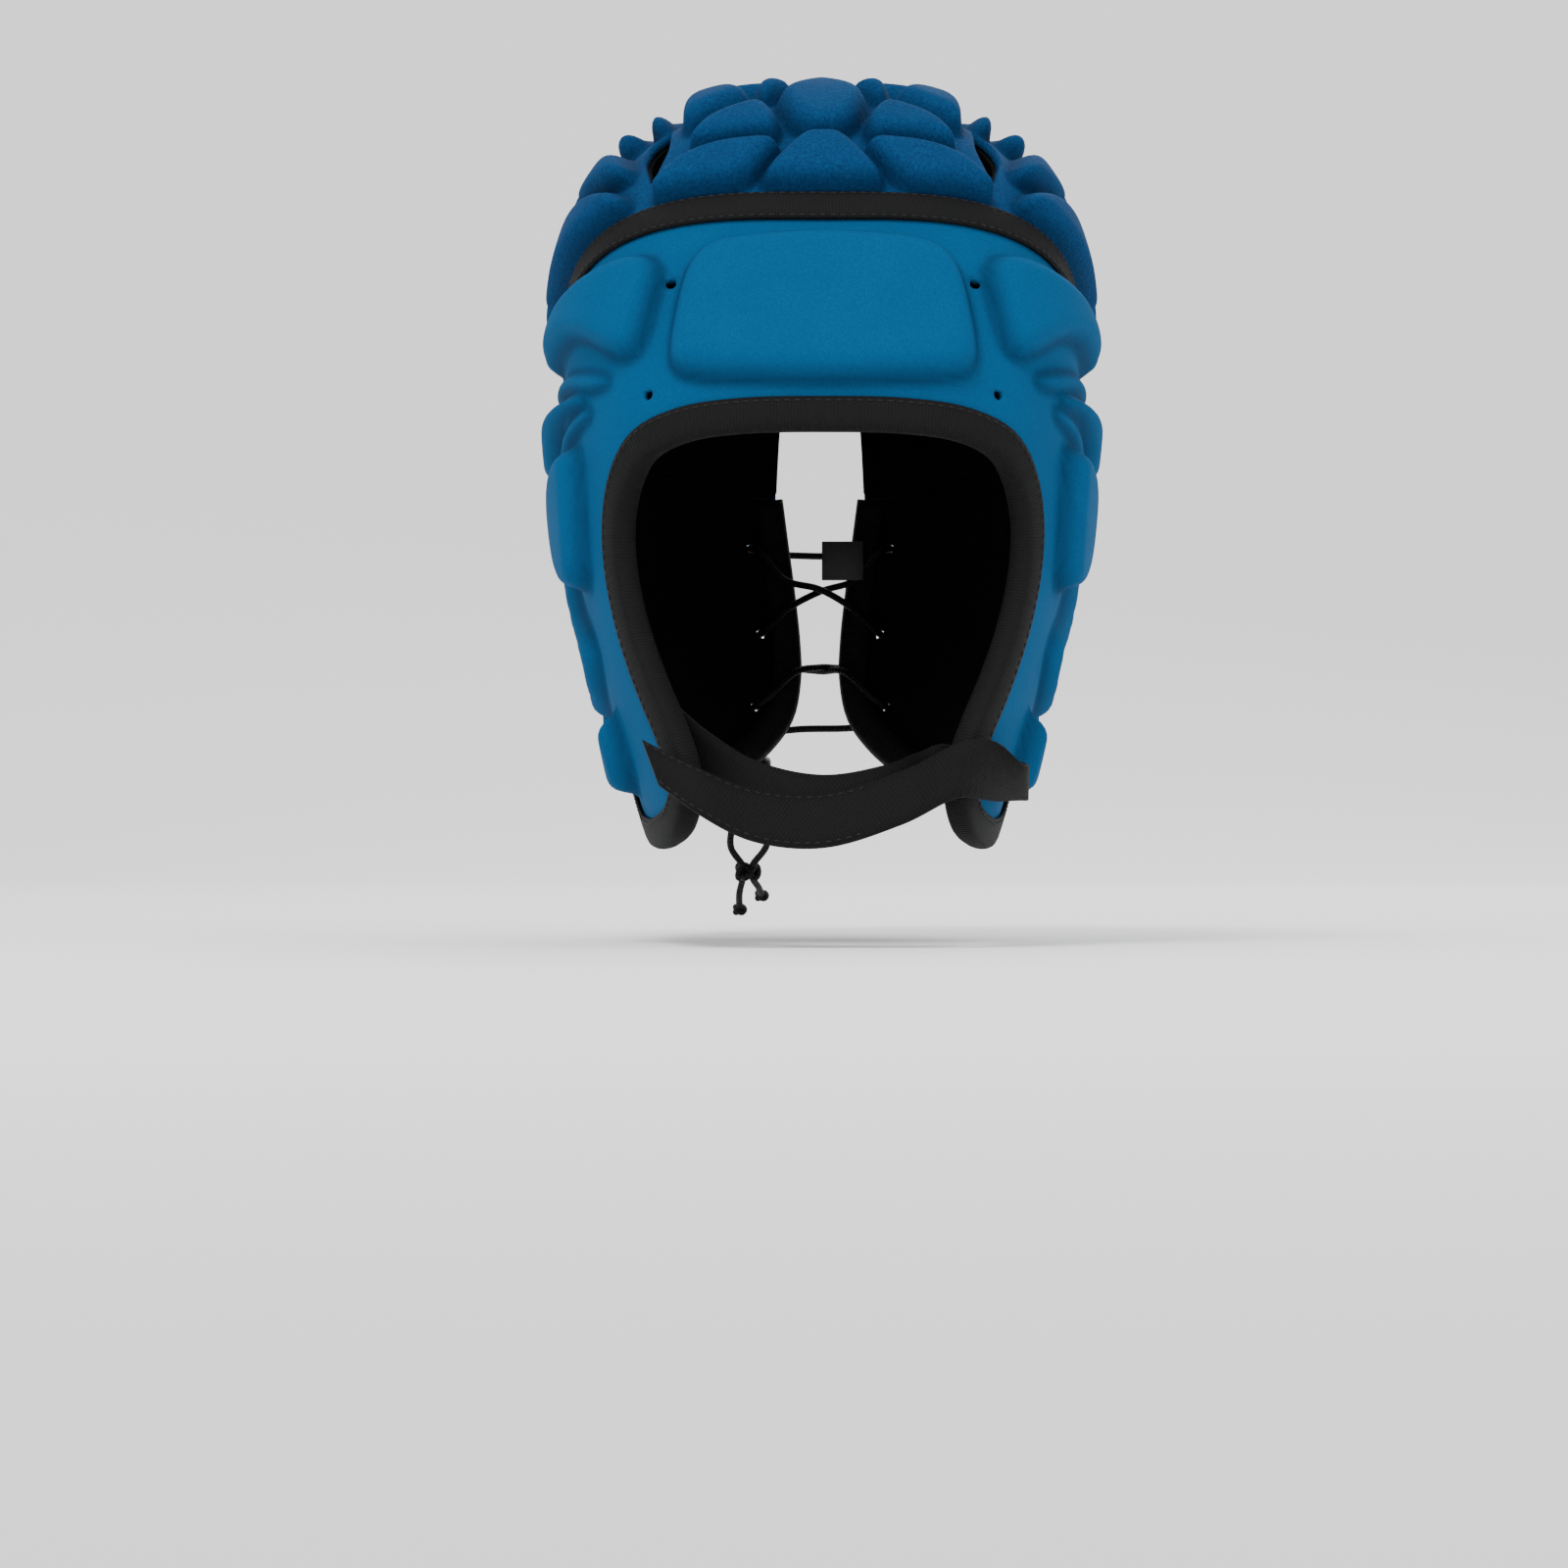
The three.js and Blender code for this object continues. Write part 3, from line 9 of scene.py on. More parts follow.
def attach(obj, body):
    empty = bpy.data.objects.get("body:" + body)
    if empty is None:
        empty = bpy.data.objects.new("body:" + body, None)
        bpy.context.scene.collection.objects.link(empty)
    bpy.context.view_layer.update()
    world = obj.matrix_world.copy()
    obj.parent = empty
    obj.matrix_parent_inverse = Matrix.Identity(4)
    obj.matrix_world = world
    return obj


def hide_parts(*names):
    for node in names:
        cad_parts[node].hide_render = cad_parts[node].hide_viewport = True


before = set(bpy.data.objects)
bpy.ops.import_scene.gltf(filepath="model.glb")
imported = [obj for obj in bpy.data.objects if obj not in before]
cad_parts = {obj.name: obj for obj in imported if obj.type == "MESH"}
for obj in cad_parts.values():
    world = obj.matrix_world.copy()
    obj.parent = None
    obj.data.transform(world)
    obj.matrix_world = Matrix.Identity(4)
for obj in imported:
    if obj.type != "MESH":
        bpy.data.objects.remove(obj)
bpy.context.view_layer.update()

scene = bpy.context.scene
print("frame loaded")

# The shell: the same named sizes as the CAD source, in metres
shell = {
    "halfWidth": 0.088,
    "frontReach": 0.122,
    "rearReach": 0.120,
    "capDrop": 0.256,
    "equatorDrop": 0.100,
    "apexForward": 0.008,
    "bandFront": 0.035,
    "bandSide": 0.079,
    "bandRear": 0.128,
    "foam": 0.003,
    "liningGap": 0.0006,
    "liningWall": 0.0012,
    "napeTurn": 172.0,
    "roundness": (2.2, 0.5),  # of the dome, front and sides
    "power": (3.0, 2.3),  # of the front and rear sections
}
domeTop = shell["foam"] + shell["liningGap"] + shell["liningWall"]
domeHeight = domeTop + shell["equatorDrop"]
liningInner = -domeTop

# Horizontal sections: drop, half width, front reach, rear reach, as shares
sections = np.array([
    (0.0, 1.0, 0.71, 0.52), (0.05, 1.0, 0.74, 0.56), (0.11, 1.0, 0.775, 0.66),
    (0.175, 1.0, 0.805, 0.78), (0.235, 1.0, 0.85, 0.89), (0.295, 1.0, 0.9, 0.96),
    (0.39, 0.998, 0.995, 1.0), (0.545, 0.97, 1.05, 0.98), (0.645, 0.93, 1.08, 0.945),
    (0.76, 0.85, 1.12, 0.885), (0.88, 0.74, 1.16, 0.81), (1.0, 0.64, 1.2, 0.71),
])


# Smooth value of a section column.
def sectionAt(drop, column):
    x, y = sections[:, 0], sections[:, column]
    last = len(x) - 1
    i = np.clip(np.searchsorted(x, drop, side="left") - 1, 0, last - 1)
    lo, hi = np.maximum(np.arange(last + 1) - 1, 0), np.minimum(np.arange(last + 1) + 1, last)
    slope = (y[hi] - y[lo]) / (x[hi] - x[lo])
    span = x[i + 1] - x[i]
    t = np.clip((drop - x[i]) / span, 0, 1)
    t2, t3 = t * t, t * t * t
    return (
        (2 * t3 - 3 * t2 + 1) * y[i] + (t3 - 2 * t2 + t) * span * slope[i]
        + (3 * t2 - 2 * t3) * y[i + 1] + (t3 - t2) * span * slope[i + 1]
    )


def shellPoint(turn, z):
    rise = np.clip((z + shell["equatorDrop"]) / domeHeight, 0, 1)
    s, c = np.abs(np.sin(turn)), np.abs(np.cos(turn))
    roundness = shell["roundness"][0] + shell["roundness"][1] * s * s
    close = np.maximum(1 - rise**roundness, 0) ** (1 / roundness)
    drop = -z / shell["capDrop"]
    atFront = np.cos(turn) > 0
    power = np.where(atFront, *shell["power"])
    reach = np.where(
        atFront, shell["frontReach"] * sectionAt(drop, 2), shell["rearReach"] * sectionAt(drop, 3)
    )
    side = shell["halfWidth"] * sectionAt(drop, 1)
    radius = close / ((s / side) ** power + (c / reach) ** power) ** (1 / power)
    centre = -shell["apexForward"] * rise**1.5
    return np.stack([radius * np.sin(turn), centre - radius * np.cos(turn), z + 0 * turn], -1)


def seamHeight(y):
    stops = [
        (-0.7 * shell["frontReach"], -shell["bandFront"]),
        (0.02 * shell["frontReach"], -shell["bandSide"]),
        (shell["rearReach"], -shell["bandRear"]),
    ]
    total = 0
    for i, (yi, zi) in enumerate(stops):
        term = zi
        for k, (yk, _) in enumerate(stops):
            if k != i:
                term = term * (y - yk) / (yi - yk)
        total = total + term
    return total


def heightOfAngle(angle):
    quarter = math.pi / 2
    dome = domeHeight * np.cos(np.minimum(angle, quarter)) - shell["equatorDrop"]
    return dome - np.maximum(angle - quarter, 0) * domeHeight


def findSeam():
    turn = np.radians(np.arange(0, 182.0))
    low, high = np.full(turn.shape, 0.05), np.full(turn.shape, 2.6)
    for _ in range(40):
        middle = (low + high) / 2
        p = shellPoint(turn, heightOfAngle(middle))
        above = p[..., 2] > seamHeight(p[..., 1])
        low, high = np.where(above, middle, low), np.where(above, high, middle)
    return (low + high) / 2


seamTable = findSeam()


def seamAngle(turn):
    around = np.mod(turn, 2 * math.pi)
    return np.interp(np.degrees(np.minimum(around, 2 * math.pi - around)), np.arange(0, 182.0), seamTable)


def crownChart(uv):
    x, y = uv[..., 0], uv[..., 1]
    turn = np.arctan2(x, -y)
    share = np.maximum(np.hypot(x, y), 1e-4)
    return shellPoint(turn, heightOfAngle(share * seamAngle(turn)))


def bandChart(uv):
    turn = np.radians(uv[..., 0])
    top = heightOfAngle(seamAngle(turn))
    return shellPoint(turn, top - uv[..., 1] * (shell["capDrop"] + top))


def tangentsOf(chart, uv):
    eu, ev = (0.002, 0.002) if chart is crownChart else (0.1, 0.001)
    stepU, stepV = np.array([eu, 0.0]), np.array([0.0, ev])
    du = (chart(uv + stepU) - chart(uv - stepU)) / (2 * eu)
    dv = (chart(uv + stepV) - chart(uv - stepV)) / (2 * ev)
    return du, dv


def unit(vectors):
    return vectors / np.linalg.norm(vectors, axis=-1, keepdims=True)


def outwardOf(chart, uv):
    normal = unit(np.cross(*tangentsOf(chart, uv)))
    return normal if chart is crownChart else -normal


def lifted(chart, uv, height):
    uv = np.asarray(uv, float)
    height = np.asarray(height, float)
    return chart(uv) + outwardOf(chart, uv) * (height[..., None] if height.ndim else height)


def slide(chart, uv, vector):
    du, dv = tangentsOf(chart, uv)
    uu, uw, ww = (du * du).sum(-1), (du * dv).sum(-1), (dv * dv).sum(-1)
    ru, rv = (du * vector).sum(-1), (dv * vector).sum(-1)
    det = uu * ww - uw * uw
    return uv + np.stack([(ru * ww - rv * uw) / det, (rv * uu - ru * uw) / det], -1)


# Moves a line of chart points sideways along the shell.
def slideAcross(chart, line, distance):
    du, dv = tangentsOf(chart, line)
    step = np.gradient(line, axis=0)
    along = du * step[:, :1] + dv * step[:, 1:]
    across = unit(np.cross(outwardOf(chart, line), along))
    return slide(chart, line, across * distance)


def mirrored(loop):
    return [(-u, v) for u, v in reversed(loop)]


def bothEnds(half):
    return half + [(a, -b) for a, b in reversed(half)]


def rounded(loop, rounds=2, cut=0.2):
    points = np.array(loop, float)
    for _ in range(rounds):
        after = np.roll(points, -1, axis=0)
        near, far = points + (after - points) * cut, after + (points - after) * cut
        points = np.stack([near, far], 1).reshape(-1, 2)
    return points


# Even-odd test of many chart points against one loop.
def inside(loop, uv):
    u, v = uv[:, 0], uv[:, 1]
    found = np.zeros(len(uv), bool)
    for (au, av), (bu, bv) in zip(loop, np.roll(loop, -1, axis=0)):
        if av == bv:
            continue
        found ^= ((av > v) != (bv > v)) & (u < au + (v - av) * (bu - au) / (bv - av))
    return found


# Distance in space from many points to one closed line of corners.
def distanceTo(corners, points):
    best = np.full(len(points), 1e9)
    for a, b in zip(corners, np.roll(corners, -1, axis=0)):
        ab = b - a
        t = np.clip(((points - a) @ ab) / max(ab @ ab, 1e-12), 0, 1)
        best = np.minimum(best, np.linalg.norm(points - a - t[:, None] * ab, axis=1))
    return best


# Nearest chart points on a loop.
def nearestOn(loop, uv, stretch):
    scale = np.array(stretch)
    corners, points = loop * scale, uv * scale
    best, where = np.full(len(uv), 1e9), np.array(points)
    for a, b in zip(corners, np.roll(corners, -1, axis=0)):
        ab = b - a
        t = np.clip(((points - a) @ ab) / max(ab @ ab, 1e-15), 0, 1)
        q = a + t[:, None] * ab
        d = np.linalg.norm(points - q, axis=1)
        where = np.where((d < best)[:, None], q, where)
        best = np.minimum(best, d)
    return where / scale, best


# Crown relief: right half; a pad that crosses the middle has its whole loop
crownPads = {
    "brow": [(0, -0.665), (0.08, -0.665), (0.25, -0.875), (0.12, -0.91), (0, -0.915)],
    "browSide": [(0.135, -0.69), (0.43, -0.595), (0.6, -0.69), (0.455, -0.795), (0.31, -0.86)],
    "temple": [(0.2, -0.36), (0.165, -0.55), (0.2, -0.64), (0.44, -0.545), (0.34, -0.41)],
    "diamond": [(0, -0.06), (0.15, -0.28), (0.125, -0.53), (0.05, -0.625), (0, -0.63)],
    "wedge": [(0.045, -0.055), (0.125, -0.055), (0.165, -0.215)],
    "arch": [(0.155, -0.05), (0.25, -0.035), (0.335, -0.205), (0.385, -0.365), (0.205, -0.265)],
    "bow": [(0.02, 0.03), (0.155, 0.12), (0.255, 0.085), (0.25, 0.005), (0.11, -0.005)],
    "inner": [(0.12, 0.21), (0.185, 0.155), (0.29, 0.105), (0.3, 0.03), (0.345, -0.02), (0.36, 0.04),
              (0.31, 0.135), (0.16, 0.26)],
    "top": [(0.18, 0.29), (0.345, 0.135), (0.4, 0.02), (0.435, -0.1), (0.5, -0.07), (0.425, 0.13),
            (0.3, 0.25)],
    "dart": [(0.52, -0.11), (0.525, -0.2), (0.595, -0.49), (0.7, -0.04)],
    "kite": [(0.46, 0.14), (0.535, -0.035), (0.69, 0.025), (0.64, 0.155)],
    "blade": [(0.745, 0.03), (0.645, -0.5), (0.655, -0.64), (0.79, -0.49), (0.88, -0.3), (0.93, -0.06),
              (0.93, 0.03)],
    "gem": [(0.335, 0.265), (0.44, 0.175), (0.61, 0.2), (0.495, 0.325)],
    "leaf": [(0.515, 0.365), (0.64, 0.24), (0.715, 0.31), (0.745, 0.46), (0.65, 0.41)],
    "flank": [(0.675, 0.205), (0.74, 0.085), (0.925, 0.085), (0.875, 0.31), (0.795, 0.48), (0.77, 0.45),
              (0.755, 0.3)],
    "bridge": [(0.17, 0.36), (0.3, 0.3), (0.45, 0.36), (0.415, 0.42), (0.22, 0.43)],
    "shield": [(0.13, 0.47), (0.4, 0.465), (0.405, 0.53), (0.27, 0.6), (0.185, 0.63)],
    "fin": [(0.3, 0.635), (0.44, 0.59), (0.635, 0.585), (0.39, 0.7)],
    "keel": [(0.425, 0.745), (0.755, 0.54), (0.645, 0.67), (0.515, 0.775)],
    "sliver": [(0.2, 0.665), (0.26, 0.64), (0.345, 0.71), (0.33, 0.725)],
    "spur": [(0.2, 0.705), (0.33, 0.76), (0.165, 0.805)],
    "bead": [(0.03, 0.41), (0.08, 0.4), (0.105, 0.46), (0.15, 0.6), (0.085, 0.575), (0.03, 0.53)],
    "petal": [(0.025, 0.575), (0.085, 0.615), (0.155, 0.66), (0.125, 0.77), (0.03, 0.69)],
    "nape": [(0.165, 0.85), (0.38, 0.775), (0.465, 0.805), (0.29, 0.88), (0.165, 0.91)],
}
slitVent = [(0.34, -0.09), (0.45, -0.19), (0.52, -0.33), (0.575, -0.6), (0.455, -0.4), (0.385, -0.21)]
sideVent = [(0.47, 0.415), (0.625, 0.44), (0.7, 0.52), (0.45, 0.545)]
napeGap = [(0.13, 1.0), (0.105, 0.84), (0, 0.715)]
topVent = {"y": 0.295, "halfWidth": 0.075, "halfLength": 0.06}

# Headband relief: turn in degrees, fall as a share; height in metres
bandPads = {
    "forehead": (0.009, [(0, 0.05), (22, 0.062), (25.5, 0.1), (24.5, 0.235), (21.5, 0.265), (0, 0.27)]),
    "temple": (0.009, [(31.5, 0.07), (50, 0.068), (72, 0.068), (86, 0.08), (70, 0.108), (48, 0.155),
                       (34, 0.225), (31, 0.215)]),
    "upperStrip": (0.004, [(36, 0.255), (62, 0.185), (84, 0.135), (80, 0.16), (57, 0.215), (42, 0.257)]),
    "swoosh": (0.009, [(102, 0.13), (81, 0.185), (60, 0.235), (42, 0.272), (58, 0.262), (70, 0.26),
                       (89, 0.283)]),
    "lowerStrip": (0.004, [(85, 0.32), (68, 0.293), (54, 0.286), (42, 0.292), (47, 0.302), (64, 0.312),
                           (81, 0.333)]),
    "cheek": (0.009, [(80, 0.36), (64, 0.338), (47, 0.332), (45.5, 0.44), (46, 0.555), (55, 0.545),
                      (67, 0.485)]),
    "ear": (0.005, [(95, 0.39), (100, 0.48), (97, 0.6), (90, 0.69), (74, 0.742), (57, 0.715), (49, 0.65),
                    (66, 0.56), (80, 0.46)]),
    "behindEar": (0.009, [(150, 0.085), (135, 0.068), (119, 0.068), (111, 0.16), (103, 0.33), (112, 0.42),
                          (112, 0.54), (105, 0.675), (114, 0.62), (123, 0.47), (128, 0.36), (133, 0.26),
                          (141, 0.16)]),
    "jaw": (0.009, [(127.5, 0.5), (119, 0.66), (102, 0.772), (76, 0.83), (55, 0.81), (46, 0.755),
                    (43.5, 0.8), (43, 0.85), (46, 0.88), (56, 0.875), (86, 0.835), (110, 0.825),
                    (128, 0.81), (132, 0.66), (132, 0.56)]),
    "oval": (0.009, [(159, 0.1), (150, 0.135), (141, 0.2), (135, 0.29), (130, 0.42), (136, 0.52),
                     (138, 0.65), (136, 0.79), (145, 0.755), (147, 0.66), (152, 0.55), (156, 0.45),
                     (160, 0.31), (161.5, 0.16)]),
}
faceEdge = [
    (0, 0.335), (13, 0.338), (22, 0.35), (29, 0.378), (33, 0.43), (34.5, 0.49), (34, 0.56), (31.5, 0.64),
    (27.5, 0.72), (23.5, 0.79), (21, 0.85),
]
backEdge = [
    (21, 0.9), (24, 0.944), (31, 0.964), (42, 0.962), (55, 0.948), (70, 0.91), (86, 0.888),
    (108, 0.878), (128, 0.862), (142, 0.84), (153, 0.805), (162, 0.755), (168.5, 0.69), (173, 0.61),
    (174.8, 0.5), (174.8, 0.4), (174, 0.26), (173, 0.13), (172, 0.0),
]
ventHoles = [(28.6, 0.115), (28.2, 0.287), (92, 0.1), (92, 0.325)]
earHoles = [
    (89, 0.475), (81, 0.525), (72, 0.57), (87, 0.55), (65, 0.615), (59, 0.66), (76, 0.62), (88, 0.63),
    (66, 0.68), (82, 0.68), (74, 0.694),
]
slotSpot = {"centre": (35, 0.862), "turn": (9, 0.09), "length": 0.022, "width": 0.007}


def runOf(points):
    return np.concatenate([[0], np.cumsum(np.linalg.norm(np.diff(points, axis=0), axis=1))])


# A centripetal curve in space.
def catmull(points, per):
    p = np.array(points, float)
    p = np.vstack([2 * p[0] - p[1], p, 2 * p[-1] - p[-2]])
    out = []
    for i in range(1, len(p) - 2):
        p0, p1, p2, p3 = p[i - 1 : i + 3]
        t1 = max(np.linalg.norm(p1 - p0), 1e-9) ** 0.5
        t2 = t1 + max(np.linalg.norm(p2 - p1), 1e-9) ** 0.5
        t3 = t2 + max(np.linalg.norm(p3 - p2), 1e-9) ** 0.5
        for t in np.linspace(t1, t2, per, endpoint=False):
            a1 = (t1 - t) / t1 * p0 + t / t1 * p1
            a2 = (t2 - t) / (t2 - t1) * p1 + (t - t1) / (t2 - t1) * p2
            a3 = (t3 - t) / (t3 - t2) * p2 + (t - t2) / (t3 - t2) * p3
            b1 = (t2 - t) / t2 * a1 + t / t2 * a2
            b2 = (t3 - t) / (t3 - t1) * a2 + (t - t1) / (t3 - t1) * a3
            out.append((t2 - t) / (t2 - t1) * b1 + (t - t1) / (t2 - t1) * b2)
    out.append(p[-2])
    return np.array(out)


# The same curve through chart points of the headband, at about equal steps.
def smoothLine(points, step):
    scale = np.array([1.0, 100.0])
    return evenLine(bandChart, catmull(np.array(points, float) * scale, 24) / scale, step)


def evenLine(chart, line, step):
    run = runOf(chart(line))
    count = max(2, round(run[-1] / step))
    want = np.linspace(0, run[-1], count + 1)
    return np.stack([np.interp(want, run, line[:, k]) for k in range(2)], -1)


halfEdge = faceEdge + backEdge
edgeLine = smoothLine(mirrored(halfEdge[1:]) + halfEdge, 0.003)
edgeFine = smoothLine(mirrored(halfEdge[1:]) + halfEdge, 0.0012)


# A shader socket that ordinary operators work on, on either side
class Value:
    def __init__(self, graph, socket):
        self.graph, self.socket = graph, socket

    def math(self, operation, *others):
        return self.graph.maths(operation, self, *others)

    def __add__(self, other):
        return self.math("ADD", other)

    def __radd__(self, other):
        return self.math("ADD", other)

    def __sub__(self, other):
        return self.math("SUBTRACT", other)

    def __rsub__(self, other):
        return self.graph.maths("SUBTRACT", other, self)

    def __mul__(self, other):
        return self.math("MULTIPLY", other)

    def __rmul__(self, other):
        return self.math("MULTIPLY", other)


class Graph:
    def __init__(self, name):
        self.material = bpy.data.materials.new(name)
        self.material.use_nodes = True
        self.tree = self.material.node_tree
        self.shader = self.tree.nodes["Principled BSDF"]

    def node(self, kind, settings=None, inputs=None):
        made = self.tree.nodes.new(kind)
        for key, value in (settings or {}).items():
            setattr(made, key, value)
        for key, value in (inputs or {}).items():
            self.join(made.inputs[key], value)
        return made

    def join(self, socket, value):
        if isinstance(value, Value):
            self.tree.links.new(value.socket, socket)
        elif isinstance(value, bpy.types.NodeSocket):
            self.tree.links.new(value, socket)
        else:
            socket.default_value = value

    def maths(self, operation, *values):
        made = self.node("ShaderNodeMath", {"operation": operation}, dict(enumerate(values)))
        return Value(self, made.outputs[0])

    def coords(self):
        return self.node("ShaderNodeTexCoord").outputs["Object"]

    def attribute(self, name):
        return Value(self, self.node("ShaderNodeAttribute", {"attribute_name": name}).outputs["Fac"])

    def noise(self, scale, detail=2.0, rough=0.5, vector=None):
        made = self.node(
            "ShaderNodeTexNoise", None,
            {"Vector": vector or self.coords(), "Scale": scale, "Detail": detail, "Roughness": rough},
        )
        return Value(self, made.outputs[0])

    def mix(self, factor, first, second):
        made = self.node("ShaderNodeMix", {"data_type": "RGBA"}, {0: factor, 6: first, 7: second})
        return made.outputs[2]

    def surface(self, color, roughness, bump=None, strength=0.3, distance=0.0004, settings=None):
        self.join(self.shader.inputs["Base Color"], color)
        self.join(self.shader.inputs["Roughness"], roughness)
        for key, value in (settings or {}).items():
            self.shader.inputs[key].default_value = value
        if bump is not None:
            values = {"Strength": strength, "Distance": distance, "Height": bump}
            made = self.node("ShaderNodeBump", None, values)
            self.join(self.shader.inputs["Normal"], made.outputs[0])
        return self.material


fabricLook = {
    "crown": (0.003, 0.048, 0.135, 1),
    "crownDark": (0.0015, 0.024, 0.080, 1),
    "band": (0.001, 0.073, 0.180, 1),
    "bandDark": (0.0008, 0.055, 0.145, 1),
    # Painted shade: the colour and strength of the darkening laid into the grooves between pads.
    "grooveShade": (0.0005, 0.010, 0.034, 1),
    "grooveShadeDepth": 0.55,
    "shine": 0.06,
}


def fabricMaterial(name, light, dark, grain, strength, roughness):
    g = Graph(name)
    coarse = g.noise(60, 3)
    fine = g.noise(grain, 2, 0.6)
    tone = (coarse * 0.5 + fine * 2.4 - 0.95).math("MAXIMUM", 0.0).math("MINIMUM", 1.0)
    color = g.mix(tone, dark, light)
    # Painted shade: the colour is darkened towards a near-black blue in the grooves between pads.
    color = g.mix(g.attribute("grooveShade") * fabricLook["grooveShadeDepth"], color, fabricLook["grooveShade"])
    stretched = g.node("ShaderNodeMapping", None, {"Vector": g.coords(), "Scale": (1.0, 1.0, 0.45)})
    knit = g.noise(grain, 1, 0.4, stretched.outputs[0])
    return g.surface(color, roughness, knit, strength, 0.0005, {"Specular IOR Level": fabricLook["shine"]})


# Woven tape: ribs across it, with a second rib along it where asked.
def ribbedMaterial(name, light, dark, pitch, strength, roughness, crossPitch=None):
    g = Graph(name)
    along = g.attribute("along")
    across = g.attribute("across")
    rib = (along * (2 * math.pi / pitch)).math("SINE")
    height = rib
    if crossPitch:
        height = rib * (across * (2 * math.pi / crossPitch)).math("SINE")
    grain = g.noise(1500, 1)
    tone = (height * 0.25 + grain * 0.6 + 0.1).math("MAXIMUM", 0.0).math("MINIMUM", 1.0)
    return g.surface(
        g.mix(tone, dark, light), roughness, height + grain * 0.5, strength, 0.0002,
        {"Specular IOR Level": 0.12},
    )


fabrics = {  # light and dark colour, grain a metre, bump strength, roughness
    "crownFabric": (fabricLook["crown"], fabricLook["crownDark"], 1100, 0.7, 0.9),
    "bandFabric": (fabricLook["band"], fabricLook["bandDark"], 1500, 0.4, 0.85),
    "liningFabric": ((0.004, 0.004, 0.004, 1), (0.002, 0.002, 0.002, 1), 1200, 0.3, 0.9),
}
weaves = {  # light and dark colour, rib pitch, bump strength, roughness, pitch of the cross ribs
    "tapeCloth": ((0.007, 0.007, 0.0075, 1), (0.003, 0.003, 0.0033, 1), 0.0011, 0.35, 0.75),
    "webbing": ((0.006, 0.006, 0.0065, 1), (0.002, 0.002, 0.0023, 1), 0.0014, 0.6, 0.7, 0.0022),
    "laceCloth": ((0.006, 0.006, 0.0065, 1), (0.002, 0.002, 0.002, 1), 0.0016, 0.5, 0.6),
}
plainLook = {
    "thread": (0.009, 0.009, 0.010, 1),
    "threadRoughness": 0.6,
    "threadShine": 0.2,
    "plastic": (0.006, 0.006, 0.006, 1),
    "plasticRoughness": 0.45,
    "plasticShine": 0.35,
    "label": (0.012, 0.012, 0.014, 1),
    "labelRoughness": 0.6,
}
crownFabric, bandFabric, liningFabric = [fabricMaterial(name, *look) for name, look in fabrics.items()]
tapeCloth, webbing, laceCloth = [ribbedMaterial(name, *look) for name, look in weaves.items()]
threadBlack = Graph("threadBlack").surface(
    plainLook["thread"], plainLook["threadRoughness"],
    settings={"Specular IOR Level": plainLook["threadShine"]},
)
plastic = Graph("lockPlastic")
plastic = plastic.surface(
    plainLook["plastic"], plainLook["plasticRoughness"], plastic.noise(2200, 2), 0.12, 0.0001,
    {"Specular IOR Level": plainLook["plasticShine"]},
)
labelCloth = Graph("labelCloth")
labelCloth = labelCloth.surface(
    plainLook["label"], plainLook["labelRoughness"], labelCloth.noise(1800, 1), 0.3, 0.0002
)
print("materials made")


# Mesh helpers
def meshObject(name, bm, material):
    mesh = bpy.data.meshes.new(name)
    bm.to_mesh(mesh)
    bm.free()
    mesh.materials.append(material)
    for polygon in mesh.polygons:
        polygon.use_smooth = True
    made = bpy.data.objects.new(name, mesh)
    scene.collection.objects.link(made)
    return made


def finishObject(name, bm, material):
    made = meshObject(name, bm, material)
    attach(made, "root")
    return made


def thicken(obj, wall):
    made = obj.modifiers.new("wall", "SOLIDIFY")
    made.thickness = wall
    made.offset = -1
    made.use_even_offset = False



# Relief height of each point: every pad swells from its own outline. A mask of painted shade is also made,
# strongest in the groove at the foot of each pad.
def padHeights(pads, chart, uv, points):
    total = np.zeros(len(uv))
    owner = np.full(len(uv), -1)
    grooveShade = np.zeros(len(uv))
    for k, (height, loop) in enumerate(pads):
        corners = chart(loop)
        low, high = corners.min(0) - relief["reach"], corners.max(0) + relief["reach"]
        near = np.nonzero(((points >= low) & (points <= high)).all(1))[0]
        within = inside(loop, uv[near])
        gap = distanceTo(corners, points[near]) * np.where(within, 1, -1) + relief["grow"]
        share = np.clip(gap / relief["shoulder"], 0, 1)
        total[near] = np.maximum(total[near], height * (1 - (1 - share) ** relief["fullness"]))
        # Painted shade: the mask peaks where a pad meets the groove at its foot.
        grooveShade[near] = np.maximum(grooveShade[near], np.exp(-((gap / relief["grooveShadeWidth"]) ** 2)))
        owner[near[within]] = k
    return total, owner, grooveShade


def smoothed(values, edges, rounds):
    count = np.bincount(edges.ravel(), minlength=len(values))
    for _ in range(rounds):
        total = np.zeros(len(values))
        np.add.at(total, edges[:, 0], values[edges[:, 1]])
        np.add.at(total, edges[:, 1], values[edges[:, 0]])
        values = 0.4 * values + 0.6 * total / np.maximum(count, 1)
    return values


